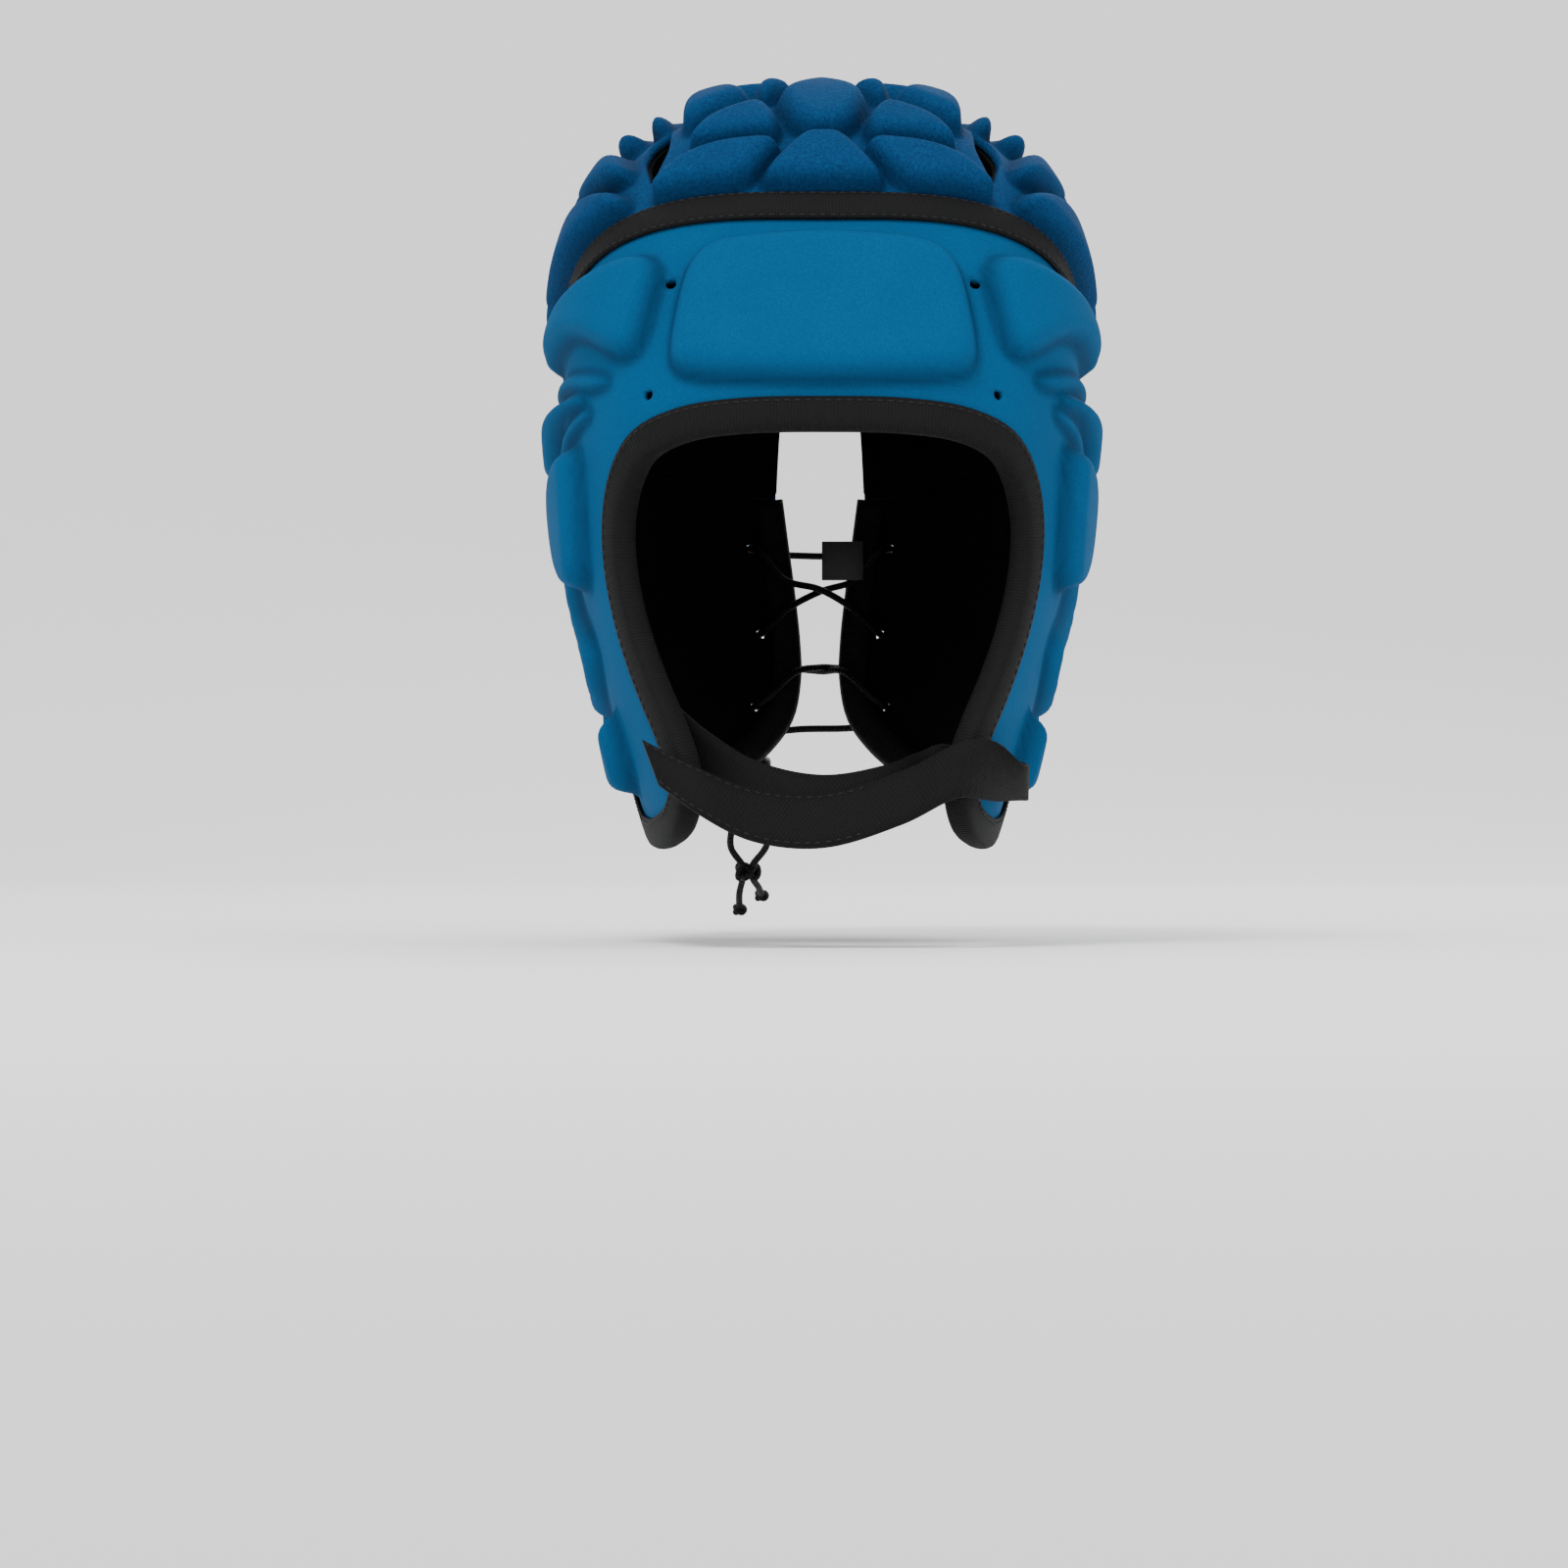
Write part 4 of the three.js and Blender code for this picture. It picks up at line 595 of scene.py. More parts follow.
# A flat grid of the chart, cut to shape and with its border drawn onto the loops.
def cutGrid(cellsU, cellsV, low, high, outline, holes, stretch):
    bm = bmesh.new()
    bmesh.ops.create_grid(bm, x_segments=cellsU, y_segments=cellsV, size=1.0)
    for v in bm.verts:
        v.co.x = low[0] + (v.co.x + 1) / 2 * (high[0] - low[0])
        v.co.y = low[1] + (v.co.y + 1) / 2 * (high[1] - low[1])
    faces = list(bm.faces)
    centres = np.array([f.calc_center_median()[:2] for f in faces])
    kept = inside(outline, centres)
    for hole in holes:
        kept &= ~inside(hole, centres)
    bmesh.ops.delete(bm, geom=[f for f, k in zip(faces, kept) if not k], context="FACES")
    border = [v for v in bm.verts if v.is_boundary]
    uv = np.array([v.co[:2] for v in border])
    best, place = np.full(len(uv), 1e9), np.array(uv)
    for loop in [outline] + holes:
        where, distance = nearestOn(loop, uv, stretch)
        place = np.where((distance < best)[:, None], where, place)
        best = np.minimum(best, distance)
    for v, p in zip(border, place):
        v.co.x, v.co.y = p
    bm.verts.index_update()
    return bm


def raiseGrid(bm, chart, pads, base, rounds, extra=None):
    uv = np.array([v.co[:2] for v in bm.verts])
    points = chart(uv)
    heights = np.zeros(len(uv))
    if pads:
        heights, owner, grooveShade = padHeights(pads, chart, uv, points)
        # The painted shade of the grooves is kept as a vertex attribute for the fabric colour.
        layer = bm.verts.layers.float.new("grooveShade")
        for v, value in zip(bm.verts, grooveShade):
            v[layer] = value
        if extra:
            heights = extra(points, heights, owner)
        edges = np.array([[e.verts[0].index, e.verts[1].index] for e in bm.edges])
        heights = smoothed(heights, edges, rounds)
    placed = lifted(chart, uv, heights + base)
    for v, p in zip(bm.verts, placed):
        v.co = p
    bmesh.ops.recalc_face_normals(bm, faces=bm.faces)
    probe = bm.faces[:][0]
    if probe.normal.dot(probe.calc_center_median() - Vector((0, 0, -shell["equatorDrop"]))) < 0:
        bmesh.ops.reverse_faces(bm, faces=bm.faces)
    return bm


relief = {
    "shoulder": 0.0075,  # how far in a pad keeps rising
    "fullness": 3.2,
    "grow": 0.0018,  # how far a pad spreads past its outline
    "reach": 0.015,
    # how wide the painted shade in the grooves spreads
    "grooveShadeWidth": 0.0018,
    "crownHeight": 0.0095,
    "crownCells": 234,
    "bandCells": ((400, 146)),
    "softening": 2,
    "liningCells": 90,
    "bandLiningCells": (240, 90),
    "crownRim": 0.9985,  # share at which the crown ends, just inside the seam
    "bandRim": 0.0012,  # fall at which the headband starts
    "bindingClear": 0.0112,  # from a pad to the bound edge
}


def bothSides(pads):
    out = []
    for height, loop in pads:
        if loop[0][0] == 0 and loop[-1][0] == 0:
            whole = loop + [(-u, v) for u, v in reversed(loop) if u > 0]
            out.append((height, rounded(whole)))
        else:
            out.append((height, rounded(loop)))
            out.append((height, rounded(mirrored(loop))))
    return out


# Crown
def crownVents():
    angle = np.linspace(0, 2 * math.pi, 40, endpoint=False)
    across = topVent["halfWidth"] * np.cos(angle)
    top = np.stack([across, topVent["y"] + topVent["halfLength"] * np.sin(angle)], -1)
    loops = [top]
    for loop in (slitVent, sideVent):
        loops += [rounded(loop, 3, 0.16), rounded(mirrored(loop), 3, 0.16)]
    return loops


def crownOutline():
    turns = np.radians(np.linspace(-shell["napeTurn"], shell["napeTurn"], 400))
    rim = np.stack([relief["crownRim"] * np.sin(turns), -relief["crownRim"] * np.cos(turns)], -1)
    gap = napeGap[1:] + [(-u, v) for u, v in reversed(napeGap[1:-1])]
    return np.vstack([rim, np.array(gap)])


def makeCrown(name, cells, pads, base, rounds, material):
    bm = cutGrid(cells, cells, (-1.0, -1.0), (1.0, 1.0), crownOutline(), crownVents(), (1.0, 1.0))
    raiseGrid(bm, crownChart, pads, base, rounds)
    return finishObject(name, bm, material)


crownReady = bothSides([(relief["crownHeight"], loop) for loop in crownPads.values()])
crown = makeCrown("crown_shell", relief["crownCells"], crownReady, 0.0, relief["softening"], crownFabric)
thicken(crown, shell["foam"])
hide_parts("crown_shell")
liningOuter = -shell["foam"] - shell["liningGap"]
crownLining = makeCrown("crown_lining", relief["liningCells"], [], liningOuter, 0, liningFabric)
thicken(crownLining, shell["liningWall"])
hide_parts("crown_lining")
print("crown made")

# Headband
holeSizes = {"vent": 0.0020, "ear": 0.0019, "lace": 0.0021, "laceInset": 0.0123}
laceRows = [0.125, 0.37, 0.64]


def laceHolePlaces():
    right = edgeFine[edgeFine[:, 0] > 100]
    inner = slideAcross(bandChart, right, holeSizes["laceInset"])
    return [tuple(inner[int(np.argmin(np.abs(right[:, 1] - fall)))]) for fall in laceRows]


laceHoles = laceHolePlaces()
allHoles = [(p, holeSizes["vent"]) for p in ventHoles] + [(p, holeSizes["ear"]) for p in earHoles]
allHoles += [(p, holeSizes["lace"]) for p in laceHoles]
allHoles = [(side, r) for p, r in allHoles for side in (p, (-p[0], p[1]))]


def holeLoop(place, radius, count=20):
    uv = np.array([place], float)
    du, dv = tangentsOf(bandChart, uv)
    normal = outwardOf(bandChart, uv)[0]
    first = du[0] / np.linalg.norm(du[0])
    second = np.cross(normal, first)
    angle = np.linspace(0, 2 * math.pi, count, endpoint=False)
    ring = radius * (np.cos(angle)[:, None] * first + np.sin(angle)[:, None] * second)
    return slide(bandChart, np.repeat(uv, count, axis=0), ring)


def slotLoop():
    uv = np.array([slotSpot["centre"]], float)
    du, dv = tangentsOf(bandChart, uv)
    normal = outwardOf(bandChart, uv)[0]
    along = du[0] * slotSpot["turn"][0] + dv[0] * slotSpot["turn"][1]
    along /= np.linalg.norm(along)
    across = np.cross(normal, along)
    halfLong, halfWide = along * slotSpot["length"] / 2, across * slotSpot["width"] / 2
    move = np.array([halfLong * a + halfWide * b for a, b in [(-1, -1), (1, -1), (1, 1), (-1, 1)]])
    return slide(bandChart, np.repeat(uv, 4, axis=0), move), along, normal


slotCorners, slotAlong, slotNormal = slotLoop()


def bandOutline():
    turns = np.linspace(shell["napeTurn"], -shell["napeTurn"], 500)
    top = np.stack([turns, np.full(len(turns), relief["bandRim"])], -1)
    return np.vstack([top, edgeFine[1:-1]])


earRelief = {
    "sink": 0.0022,  # how far the panel lies below its rim
    "sinkFrom": 0.0055,
    "sinkOver": 0.003,
    "rim": 0.0015,
    "rimAt": 0.0045,
    "rimWidth": 0.0018,
    "dip": 0.0011,  # at each hole
    "dipWidth": 0.0034,
    "ringed": (76, 0.62),  # the hole with a raised ring
    "ring": 0.0014,
    "ringRadius": 0.0052,
    "ringWidth": 0.0015,
}


# The ear panel sinks inside its rim, and dips round each hole.
def earDetail(points, heights, owner):
    ears = [i for i, name in enumerate(bandReadyNames) if name == "ear"]
    inEar = np.isin(owner, ears)
    for i in ears:
        mine = np.nonzero(owner == i)[0]
        gap = distanceTo(bandChart(bandReady[i][1]), points[mine])
        sink = earRelief["sink"] * np.clip((gap - earRelief["sinkFrom"]) / earRelief["sinkOver"], 0, 1)
        rise = earRelief["rim"] * np.exp(-(((gap - earRelief["rimAt"]) / earRelief["rimWidth"]) ** 2))
        heights[mine] += rise - sink
    for hole in earHoles:
        for side in (1, -1):
            spot = bandChart(np.array([[hole[0] * side, hole[1]]], float))[0]
            near = np.linalg.norm(points - spot, axis=1)
            dip = earRelief["dip"] * np.exp(-((near / earRelief["dipWidth"]) ** 2))
            if hole == earRelief["ringed"]:
                ring = (near - earRelief["ringRadius"]) / earRelief["ringWidth"]
                dip -= earRelief["ring"] * np.exp(-(ring**2))
            heights = heights - np.where(inEar, dip, 0)
    return heights


bandReadyNames = []
for padName, (_, loop) in bandPads.items():
    bandReadyNames += [padName] if loop[0][0] == 0 else [padName, padName]
bandReady = bothSides(list(bandPads.values()))


# Pads stay clear of the binding.
def keptClear(loop, margin):
    line = bandChart(edgeLine)
    points = bandChart(loop)
    out = np.array(loop)
    for i, p in enumerate(points):
        ab = line[1:] - line[:-1]
        t = np.clip(((p - line[:-1]) * ab).sum(1) / (ab * ab).sum(1), 0, 1)
        q = line[:-1] + t[:, None] * ab
        d = np.linalg.norm(p - q, axis=1)
        k = int(np.argmin(d))
        if d[k] < margin:
            move = (p - q[k]) / max(d[k], 1e-9) * (margin - d[k])
            out[i] = slide(bandChart, loop[i : i + 1], move[None])[0]
    return out


bandReady = [(h, keptClear(loop, relief["bindingClear"])) for h, loop in bandReady]


def makeBand(name, cells, pads, base, rounds, material, extra=None):
    holes = [holeLoop(p, r) for p, r in allHoles] + [slotCorners]
    span = shell["napeTurn"] + 3  # the back edges bow out past their top
    low, high = (-span, relief["bandRim"]), (span, 1.0)
    bm = cutGrid(*cells, low, high, bandOutline(), holes, (0.0016, 0.19))
    raiseGrid(bm, bandChart, pads, base, rounds, extra)
    return finishObject(name, bm, material)


band = makeBand(
    "headband_shell", relief["bandCells"], bandReady, 0.0, relief["softening"], bandFabric, earDetail
)
thicken(band, shell["foam"])
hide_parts("headband_shell")
bandLining = makeBand("headband_lining", relief["bandLiningCells"], [], liningOuter, 0, liningFabric)
thicken(bandLining, shell["liningWall"])
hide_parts("headband_lining")
print("headband made")


# Joins rows of section points; along and across are kept as attributes for the weave.
def sweep(name, rows, alongs, acrosses, material):
    bm = bmesh.new()
    alongLayer = bm.verts.layers.float.new("along")
    acrossLayer = bm.verts.layers.float.new("across")
    made = []
    for row, along in zip(rows, alongs):
        line = []
        for p, across in zip(row, acrosses):
            v = bm.verts.new(p)
            v[alongLayer] = along
            v[acrossLayer] = across
            line.append(v)
        made.append(line)
    count = len(made[0])
    for a, b in zip(made, made[1:]):
        for k in range(count):
            bm.faces.new((a[k], a[(k + 1) % count], b[(k + 1) % count], b[k]))
    bm.faces.new(list(reversed(made[0])))
    bm.faces.new(made[-1])
    bmesh.ops.recalc_face_normals(bm, faces=bm.faces)
    return finishObject(name, bm, material)


stitchSizes = {"length": 0.0026, "pitch": 0.0034, "radius": 0.00028}


# A row of short thread stitches, each lying along the line.
def stitchRow(name, points, normals):
    length, radius = stitchSizes["length"], stitchSizes["radius"]
    run = runOf(points)
    count = int(run[-1] / stitchSizes["pitch"])
    bm = bmesh.new()
    for i in range(count):
        at = (i + 0.5) * run[-1] / count
        p = Vector([np.interp(at, run, points[:, k]) for k in range(3)])
        q = Vector([np.interp(at + 0.0005, run, points[:, k]) for k in range(3)])
        n = Vector([np.interp(at, run, normals[:, k]) for k in range(3)])
        t = (q - p).normalized()
        if t.length < 0.5:
            continue
        b = n.cross(t).normalized()
        n = t.cross(b).normalized()
        basis = Matrix((t, b, n)).transposed().to_4x4()
        scale = Matrix.Diagonal((length / 2, radius * 1.25, radius, 1))
        place = Matrix.Translation(p) @ basis @ scale
        bmesh.ops.create_uvsphere(bm, u_segments=6, v_segments=4, radius=1.0, matrix=place)
    return finishObject(name, bm, threadBlack)


bindingSizes = {
    "width": 0.0085,
    "wall": 0.001,
    "gap": 0.0006,
    "bulge": 0.0022,
    "stitchIn": 0.0016,
}


def makeBinding():
    b = bindingSizes
    top, bottom = b["gap"], liningInner - 2 * b["gap"]
    middle, half = (top + bottom) / 2, (top - bottom) / 2
    width, wall = b["width"], b["wall"]
    section = [(width, top), (width - 0.0002, top + wall * 0.75), (width * 0.72, top + wall)]
    section += [(width * 0.35, top + wall * 1.15), (0.0, top + wall)]
    for k in range(1, 8):
        a = math.pi * k / 8
        section.append((-b["gap"] - b["bulge"] * math.sin(a), middle + (half + wall) * math.cos(a)))
    section += [(0.0, bottom - wall), (width * 0.6, bottom - wall), (width, bottom - wall * 0.7)]
    section += [(width, bottom), (0.0, bottom), (-b["gap"], middle), (0.0, top)]
    slid = {}
    for a, _ in section:
        if a not in slid:
            slid[a] = slideAcross(bandChart, edgeLine, a) if a else edgeLine
    columns = [lifted(bandChart, slid[a], h) for a, h in section]
    alongs = runOf(bandChart(edgeLine))
    made = sweep("edge_binding", np.stack(columns, 1), alongs, [a for a, _ in section], tapeCloth)
    inner = slideAcross(bandChart, edgeLine, b["width"] - b["stitchIn"])
    points = lifted(bandChart, inner, top + wall * 1.02)
    return made, stitchRow("binding_stitches", points, outwardOf(bandChart, inner))


binding, bindingThread = makeBinding()
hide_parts("edge_binding")

tapeSizes = {"halfWidth": 0.0058, "wall": 0.0012, "lift": 0.0006, "end": 5.8, "stitchIn": 0.0011}


# Chart points a distance above the seam (positive) or below it.
def seamPoints(turns, distance):
    if distance >= 0:
        radians = np.radians(turns)
        rim = np.stack([np.sin(radians), -np.cos(radians)], -1)
        share = np.linalg.norm(crownChart(rim * 0.97) - crownChart(rim), axis=-1) / 0.03
        return crownChart, rim * (1 - distance / share)[:, None]
    flat = np.stack([turns, np.zeros(len(turns))], -1)
    share = np.linalg.norm(bandChart(flat + np.array([0, 0.03])) - bandChart(flat), axis=-1) / 0.03
    return bandChart, np.stack([turns, -distance / share], -1)


def makeTape():
    t = tapeSizes
    end = shell["napeTurn"] - t["end"]
    turns = np.linspace(-end, end, 180)
    offsets = [1, 0.9, 0.5, 0, -0.5, -0.9, -1]
    crownSide = [0.35, 1, 1.1, 1.15, 1.1, 1, 0.35]
    columns, acrosses = [], []
    for share, rise in zip(offsets, crownSide):
        chart, uv = seamPoints(turns, share * t["halfWidth"])
        columns.append(lifted(chart, uv, t["lift"] + t["wall"] * rise))
        acrosses.append(share * t["halfWidth"])
    for share in reversed(offsets):
        chart, uv = seamPoints(turns, share * t["halfWidth"])
        columns.append(lifted(chart, uv, t["lift"]))
        acrosses.append(share * t["halfWidth"])
    made = sweep("seam_tape", np.stack(columns, 1), runOf(columns[3]), acrosses, tapeCloth)
    threads = []
    for side in (1, -1):
        chart, uv = seamPoints(turns, side * (t["halfWidth"] - t["stitchIn"]))
        points = lifted(chart, uv, t["lift"] + t["wall"] * 1.05)
        name = "tape_stitches_upper" if side > 0 else "tape_stitches_lower"
        threads.append(stitchRow(name, points, outwardOf(chart, uv)))
    return made, threads


tape, tapeThreads = makeTape()
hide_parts("seam_tape")
print("tape and binding made")


strapSizes = {"width": 0.020, "wall": 0.0016, "stitchIn": 0.0016}
strapInner = [
    (-0.048, -0.078, -0.213, 8), (-0.0445, -0.093, -0.216, 10), (-0.036, -0.104, -0.222, 18),
    (-0.020, -0.115, -0.231, 25), (0, -0.119, -0.235, 27), (0.019, -0.1145, -0.232, 25),
    (0.032, -0.103, -0.2275, 18),
]
strapOuter = [
    (0.046, -0.129, -0.224, 18), (0.027, -0.1285, -0.233, 24), (0, -0.1265, -0.241, 27),
    (-0.024, -0.1295, -0.239, 28), (-0.042, -0.1315, -0.231, 32), (-0.057, -0.124, -0.222, 40),
]


def makeStrap():
    centre = bandChart(np.array([slotSpot["centre"]], float))[0]
    stations = []

    def addRow(table):
        for x, y, z, lean in table:
            a = math.radians(lean)
            across = np.array([-x * math.sin(a) / shell["frontReach"], -math.sin(a), -math.cos(a)])
            stations.append((np.array([x, y, z]), across / np.linalg.norm(across)))

    addRow(strapInner)
    down = slotAlong if slotAlong[2] < 0 else -slotAlong
    # height above the slot and step forwards, in millimetres
    crossing = [(-11, 8), (-7.5, 1.5), (-3, 0), (2, 0), (6, 1.5), (9.6, 7), (10.3, 15)]
    for height, forward in crossing:
        side = np.array([slotNormal[1], -slotNormal[0], 0.0]) * forward * 0.001
        stations.append((centre + slotNormal * height * 0.001 + side, down))
    addRow(strapOuter)
    centres = catmull([s[0] for s in stations], 10)
    widths = unit(catmull([s[1] for s in stations], 10))
    faces = unit(np.cross(np.gradient(centres, axis=0), widths))
    w, h = strapSizes["width"] / 2, strapSizes["wall"] / 2
    section = bothEnds([(-1, -0.5), (-0.97, -1), (-0.5, -1), (0, -1), (0.5, -1), (0.97, -1), (1, -0.5)])
    rows = np.stack([centres + widths * a * w + faces * b * h for a, b in section], 1)
    made = sweep("chin_strap", rows, runOf(centres), [a * w for a, _ in section], webbing)
    threads = []
    for side in (-1, 1):
        middle = centres + widths * side * (w - strapSizes["stitchIn"])
        outer = middle + faces * h * (1.05 if faces[-30][1] < 0 else -1.05)
        last = slice(len(centres) - 36, len(centres))
        name = "strap_stitches_" + ("top" if side < 0 else "bottom")
        threads.append(stitchRow(name, outer[last], faces[last]))
    return made, threads


strap, strapThreads = makeStrap()
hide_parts("chin_strap")
print("strap made")

laceSizes = {
    "radius": 0.00125,
    "overClear": 0.0008,  # between the lace and the binding
    "underClear": 0.001,
    "cross": 0.0017,  # how far the two runs pass from the middle where they cross
    "lock": (193.5, 0.735, 0.010),
    "steepCross": 1.45,
    "lockSpread": 0.0021,
    "lockRadius": 0.0065,
    "lockLength": 0.017,
    "buttonRadius": 0.0046,
    "buttonLength": 0.005,
    "buttonGap": 0.0004,
    "knot": (0, 0.0215, -0.036),  # from the lock
    "knotRadius": 0.0031,
    "endRadius": 0.0013,
}


# A round cord along a line, with its twist kept even.
def tube(name, points, radius, material, sides=14):
    points = np.array(points)
    tangent = unit(np.gradient(points, axis=0))
    side = np.cross(tangent[0], [0.3, 0.2, 0.93])
    rows = []
    angle = np.linspace(0, 2 * math.pi, sides, endpoint=False)
    for p, t in zip(points, tangent):
        side = side - t * (side @ t)
        side /= np.linalg.norm(side)
        other = np.cross(t, side)
        rows.append([p + radius * (math.cos(a) * side + math.sin(a) * other) for a in angle])
    return sweep(name, rows, runOf(points), [radius * a for a in angle], material)


def spot(u, v, height):
    return lifted(bandChart, np.array([[u, v]], float), np.array([height]))[0]


bindingHeight = bindingSizes["gap"] + bindingSizes["wall"] + laceSizes["radius"]
overBinding = bindingHeight + laceSizes["overClear"]
underBinding = liningInner - bindingSizes["gap"] - bindingHeight - laceSizes["underClear"]
lockCentre = spot(*laceSizes["lock"])


def lockPoint(x, y, z):
    return lockCentre + np.array([x, y, z])


def laceRun(sign, cross):
    over, under = overBinding, underBinding
    one, two, three = laceHoles
    nearOne, _, nearThree = [180 + sign * (180 - hole[0]) for hole in laceHoles]
    farTwo = 180 - sign * (180 - two[0])
    return [
        spot(180 + sign, one[1] + 0.002, over - 0.0006),
        spot(180 + sign * 8, one[1], over),
        spot(nearOne - sign * 1.2, one[1], over),
        spot(nearOne, one[1], 0.0006),
        spot(nearOne, one[1], -0.005),
        spot(nearOne - sign * 1.2, one[1] + 0.015, under + 0.0003),
        spot(180 + sign * 7, one[1] + 0.09, under),
        spot(180, (one[1] + two[1]) / 2, under + cross),
        spot(180 - sign * 7, two[1] - 0.06, under),
        spot(farTwo + sign * 1.3, two[1] - 0.012, under + 0.0002),
        spot(farTwo, two[1], -0.005),
        spot(farTwo, two[1], 0.0006),
        spot(farTwo + sign * 1.3, two[1] + 0.015, over - 0.0003),
        spot(180 - sign * 5.2, two[1] + 0.07, over + 0.0005),
        spot(180, (two[1] + three[1]) / 2 - 0.01, (over + under) / 2 + cross * laceSizes["steepCross"]),
        spot(180 + sign * 5.2, three[1] - 0.09, under - 0.0006),
        spot(nearThree - sign * 2, three[1] - 0.015, under),
        spot(nearThree, three[1], -0.005),
        spot(nearThree, three[1], 0.0006),
    ]


def lacePoints():
    three = laceHoles[2]
    over, r, s = overBinding, laceSizes["lockRadius"], laceSizes["lockSpread"]
    right = laceRun(1, -laceSizes["cross"]) + [
        spot(360 - three[0] - 0.6, three[1] + 0.016, over + 0.0012),
        lockPoint(-s, 0, r + 0.003),
        lockPoint(-s, 0, r),
        lockPoint(-s, 0, 0.0005),
    ]
    left = laceRun(-1, laceSizes["cross"]) + [
        spot(three[0] + 2.5, three[1] + 0.012, over),
        spot(172, three[1] + 0.035, over),
        spot(185, three[1] + 0.04, over + 0.0015),
        lockPoint(s, -0.0005, r + 0.006),
        lockPoint(s, 0, r + 0.001),
        lockPoint(s, 0, 0.0005),
    ]
    return list(reversed(right)) + left


lace = tube("lace_cord", catmull(lacePoints(), 8), laceSizes["radius"], laceCloth, 12)
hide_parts("lace_cord")

tailRoutes = {
    "lace_tail_left": [
        (-0.0241, 0.1035, -0.2247), (-0.0241, 0.1038, -0.2327), (-0.0202, 0.1075, -0.2407),
        (-0.0192, 0.1135, -0.2507), (-0.0245, 0.1225, -0.2587), (-0.0245, 0.1275, -0.2627),
        (-0.0222, 0.1365, -0.2667), (-0.0212, 0.1465, -0.2697),
    ],
    "lace_tail_right": [
        (-0.0283, 0.1035, -0.2247), (-0.0283, 0.1038, -0.2327), (-0.0312, 0.1105, -0.2427),
        (-0.0322, 0.1165, -0.2517), (-0.0279, 0.1225, -0.2587), (-0.0279, 0.1275, -0.2627),
        (-0.0292, 0.1345, -0.2687), (-0.0292, 0.1435, -0.2747),
    ],
}


# A small tight knot: a cord wound round itself.
def knotBall(name, centre, size, turns, material):
    t = np.linspace(0, 2 * math.pi, 90)
    ring = size * (1 + 0.25 * np.cos(turns * t))
    columns = [ring * np.cos(2 * t), ring * np.sin(2 * t) * 0.9, 0.75 * size * np.sin(turns * t)]
    return tube(name, np.stack(columns, -1) + centre, laceSizes["radius"] * 0.95, material, 10)


knot = knotBall("tail_knot", lockPoint(*laceSizes["knot"]), laceSizes["knotRadius"], 5, laceCloth)
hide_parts("tail_knot")
for tailName, route in tailRoutes.items():
    line = catmull(route, 12)
    tail = tube(tailName, line, laceSizes["radius"], laceCloth, 12)
    end = line[-1] + (line[-1] - line[-2]) * 0.2
    endKnot = knotBall(tailName + "_end", end, laceSizes["endRadius"], 3, laceCloth)
    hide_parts(tailName)


# A turned body with its axis along X.
def turned(name, profile, centre, steps, material, ribs=0):
    bm = bmesh.new()
    verts = [bm.verts.new((h, r, 0)) for r, h in profile]
    edges = [bm.edges.new(pair) for pair in zip(verts, verts[1:])]
    bmesh.ops.spin(
        bm, geom=verts + edges, cent=(0, 0, 0), axis=(1, 0, 0), angle=2 * math.pi, steps=steps,
        use_merge=True,
    )
    bmesh.ops.remove_doubles(bm, verts=bm.verts, dist=1e-6)
    if ribs:
        for v in bm.verts:
            a = math.atan2(v.co.z, v.co.y)
            k = 1 - 0.05 * (0.5 + 0.5 * math.cos(ribs * a))
            v.co.y *= k
            v.co.z *= k
    bmesh.ops.recalc_face_normals(bm, faces=bm.faces)
    bmesh.ops.translate(bm, verts=bm.verts, vec=centre)
    return finishObject(name, bm, material)


def makeLock():
    r, length = laceSizes["lockRadius"], laceSizes["lockLength"]
    profile = bothEnds([
        (0, -0.5), (0.6, -0.5), (0.8, -0.47), (0.93, -0.38), (0.99, -0.26), (1, -0.22), (0.94, -0.2),
        (0.94, -0.16), (1, -0.14),
    ])
    body = turned("lock_body", [(a * r, b * length) for a, b in profile], lockCentre, 48, plastic)
    ring = bothEnds([(0, -0.5), (0.8, -0.5), (0.97, -0.42), (1, -0.3)])
    wide, long = laceSizes["buttonRadius"], laceSizes["buttonLength"]
    at = lockPoint(-(length + long) / 2 - laceSizes["buttonGap"], 0, 0)
    button = turned("lock_button", [(a * wide, b * long) for a, b in ring], at, 40, plastic, 16)
    return body, button


lockBody, lockButton = makeLock()
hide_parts("lock_body")
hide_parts("lock_button")

labelSizes = {
    "width": 0.015,
    "height": 0.014,
    "wall": 0.001,
    "under": 0.0042,  # below the lace
    "turn": 175.5,
    "fall": 0.04,
}


def makeLabel():
    b = labelSizes
    middle = spot(b["turn"], laceHoles[0][1] + b["fall"], underBinding - b["under"])
    bm = bmesh.new()
    bmesh.ops.create_cube(bm, size=1.0)
    bmesh.ops.scale(bm, verts=bm.verts, vec=(b["width"], b["wall"], b["height"]))
    bmesh.ops.bevel(
        bm, geom=bm.verts[:] + bm.edges[:], offset=0.0003, segments=2, profile=0.5,
        affect="EDGES", material=-1,
    )
    bmesh.ops.translate(bm, verts=bm.verts, vec=middle)
    return finishObject("label_tab", bm, labelCloth)


label = makeLabel()
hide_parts("label_tab")
print("lace, lock and label made")

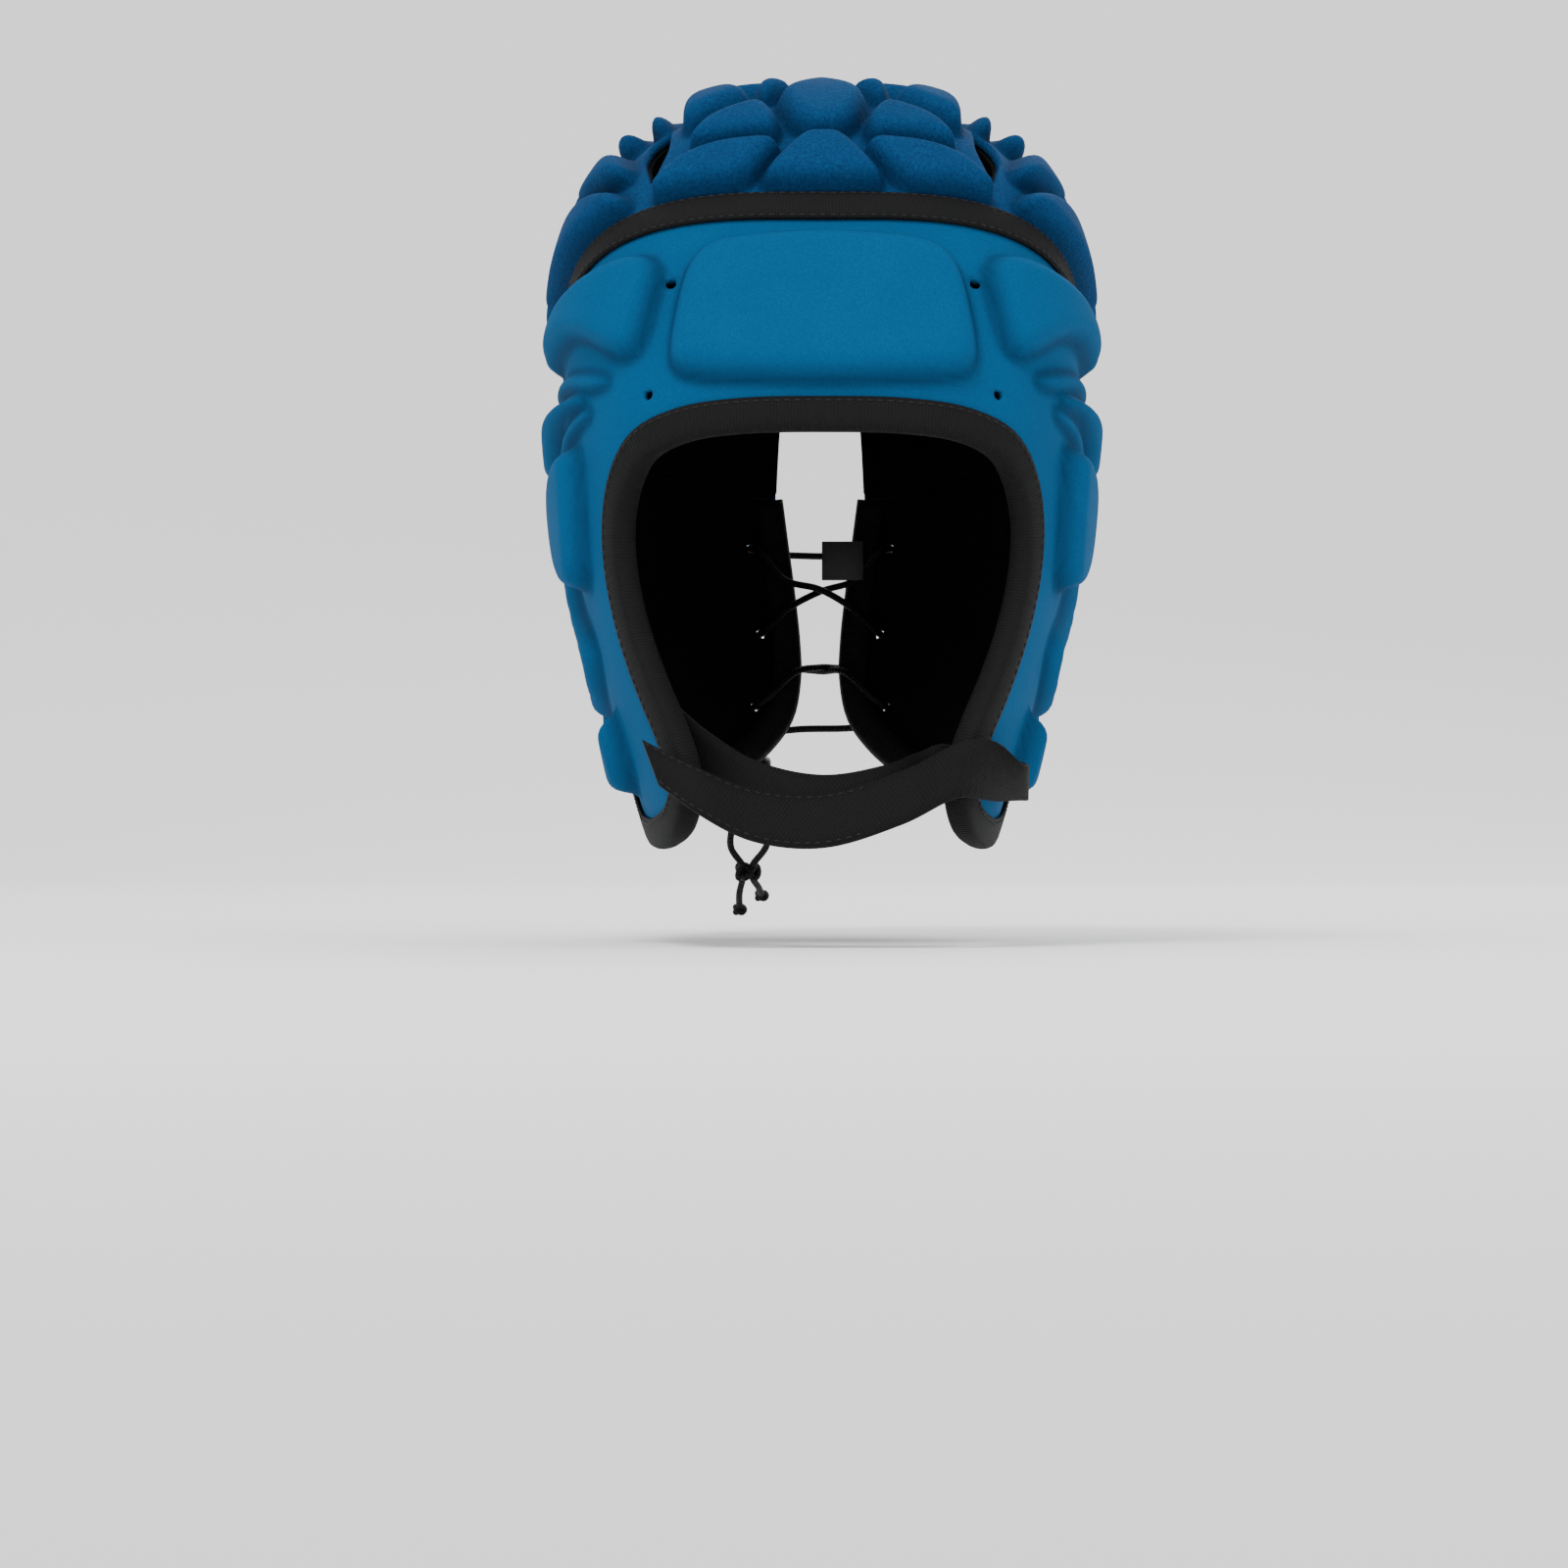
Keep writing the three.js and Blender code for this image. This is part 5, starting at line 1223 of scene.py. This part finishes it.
# Stage
stageLook = {
    "floor": -0.283,
    "color": (0.94, 0.94, 0.94, 1),
    "cove": 1.5,  # radius of the bend from floor to wall
    "sky": 1.25,
    "distance": 2.6,  # of the camera
    "width": 0.542,  # seen at the cap
    "x": -0.013,
    "z": -0.229,
    "aim": (0, 0, -0.12),
}
lights = {  # place, size, power
    "key": ((-0.5, -0.9, 1.5), 0.6, 26),
    "fill": ((1.3, -1.0, 0.5), 1.0, 5),
    "rear": ((0.4, 1.4, 0.9), 1.0, 12),
}
bm = bmesh.new()
sweepAngles = [math.pi / 2 * k / 24 for k in range(25)]
cove = stageLook["cove"]
profile = [(cove + cove * math.sin(a), cove - cove * math.cos(a)) for a in sweepAngles]
profile = [(-6.0, 0.0)] + profile + [(2 * cove, 8.0)]
lines = [[bm.verts.new((x, y, stageLook["floor"] + z)) for y, z in profile] for x in (-8, 8)]
for k in range(len(profile) - 1):
    bm.faces.new((lines[0][k], lines[1][k], lines[1][k + 1], lines[0][k + 1]))
floor = meshObject("floor", bm, Graph("floorPale").surface(stageLook["color"], 0.9))

world = bpy.data.worlds.new("studio")
scene.world = world
world.use_nodes = True
world.node_tree.nodes["Background"].inputs[0].default_value = (1.0, 1.0, 1.0, 1)
world.node_tree.nodes["Background"].inputs[1].default_value = stageLook["sky"]


def areaLight(name, place, aim, size, power):
    data = bpy.data.lights.new(name, "AREA")
    data.size = size
    data.energy = power
    made = bpy.data.objects.new(name, data)
    made.location = place
    made.rotation_euler = (Vector(aim) - Vector(place)).to_track_quat("-Z", "Y").to_euler()
    scene.collection.objects.link(made)


for lightName, (spotAt, size, power) in lights.items():
    areaLight(lightName, spotAt, stageLook["aim"], size, power)

cameraData = bpy.data.cameras.new("camera")
cameraData.sensor_width = 36
cameraData.lens = 36 * stageLook["distance"] / stageLook["width"]
cameraData.clip_end = 30
camera = bpy.data.objects.new("camera", cameraData)
camera.location = (stageLook["x"], -stageLook["distance"], stageLook["z"])
camera.rotation_euler = (math.pi / 2, 0, 0)
scene.collection.objects.link(camera)
scene.camera = camera
print("stage made")

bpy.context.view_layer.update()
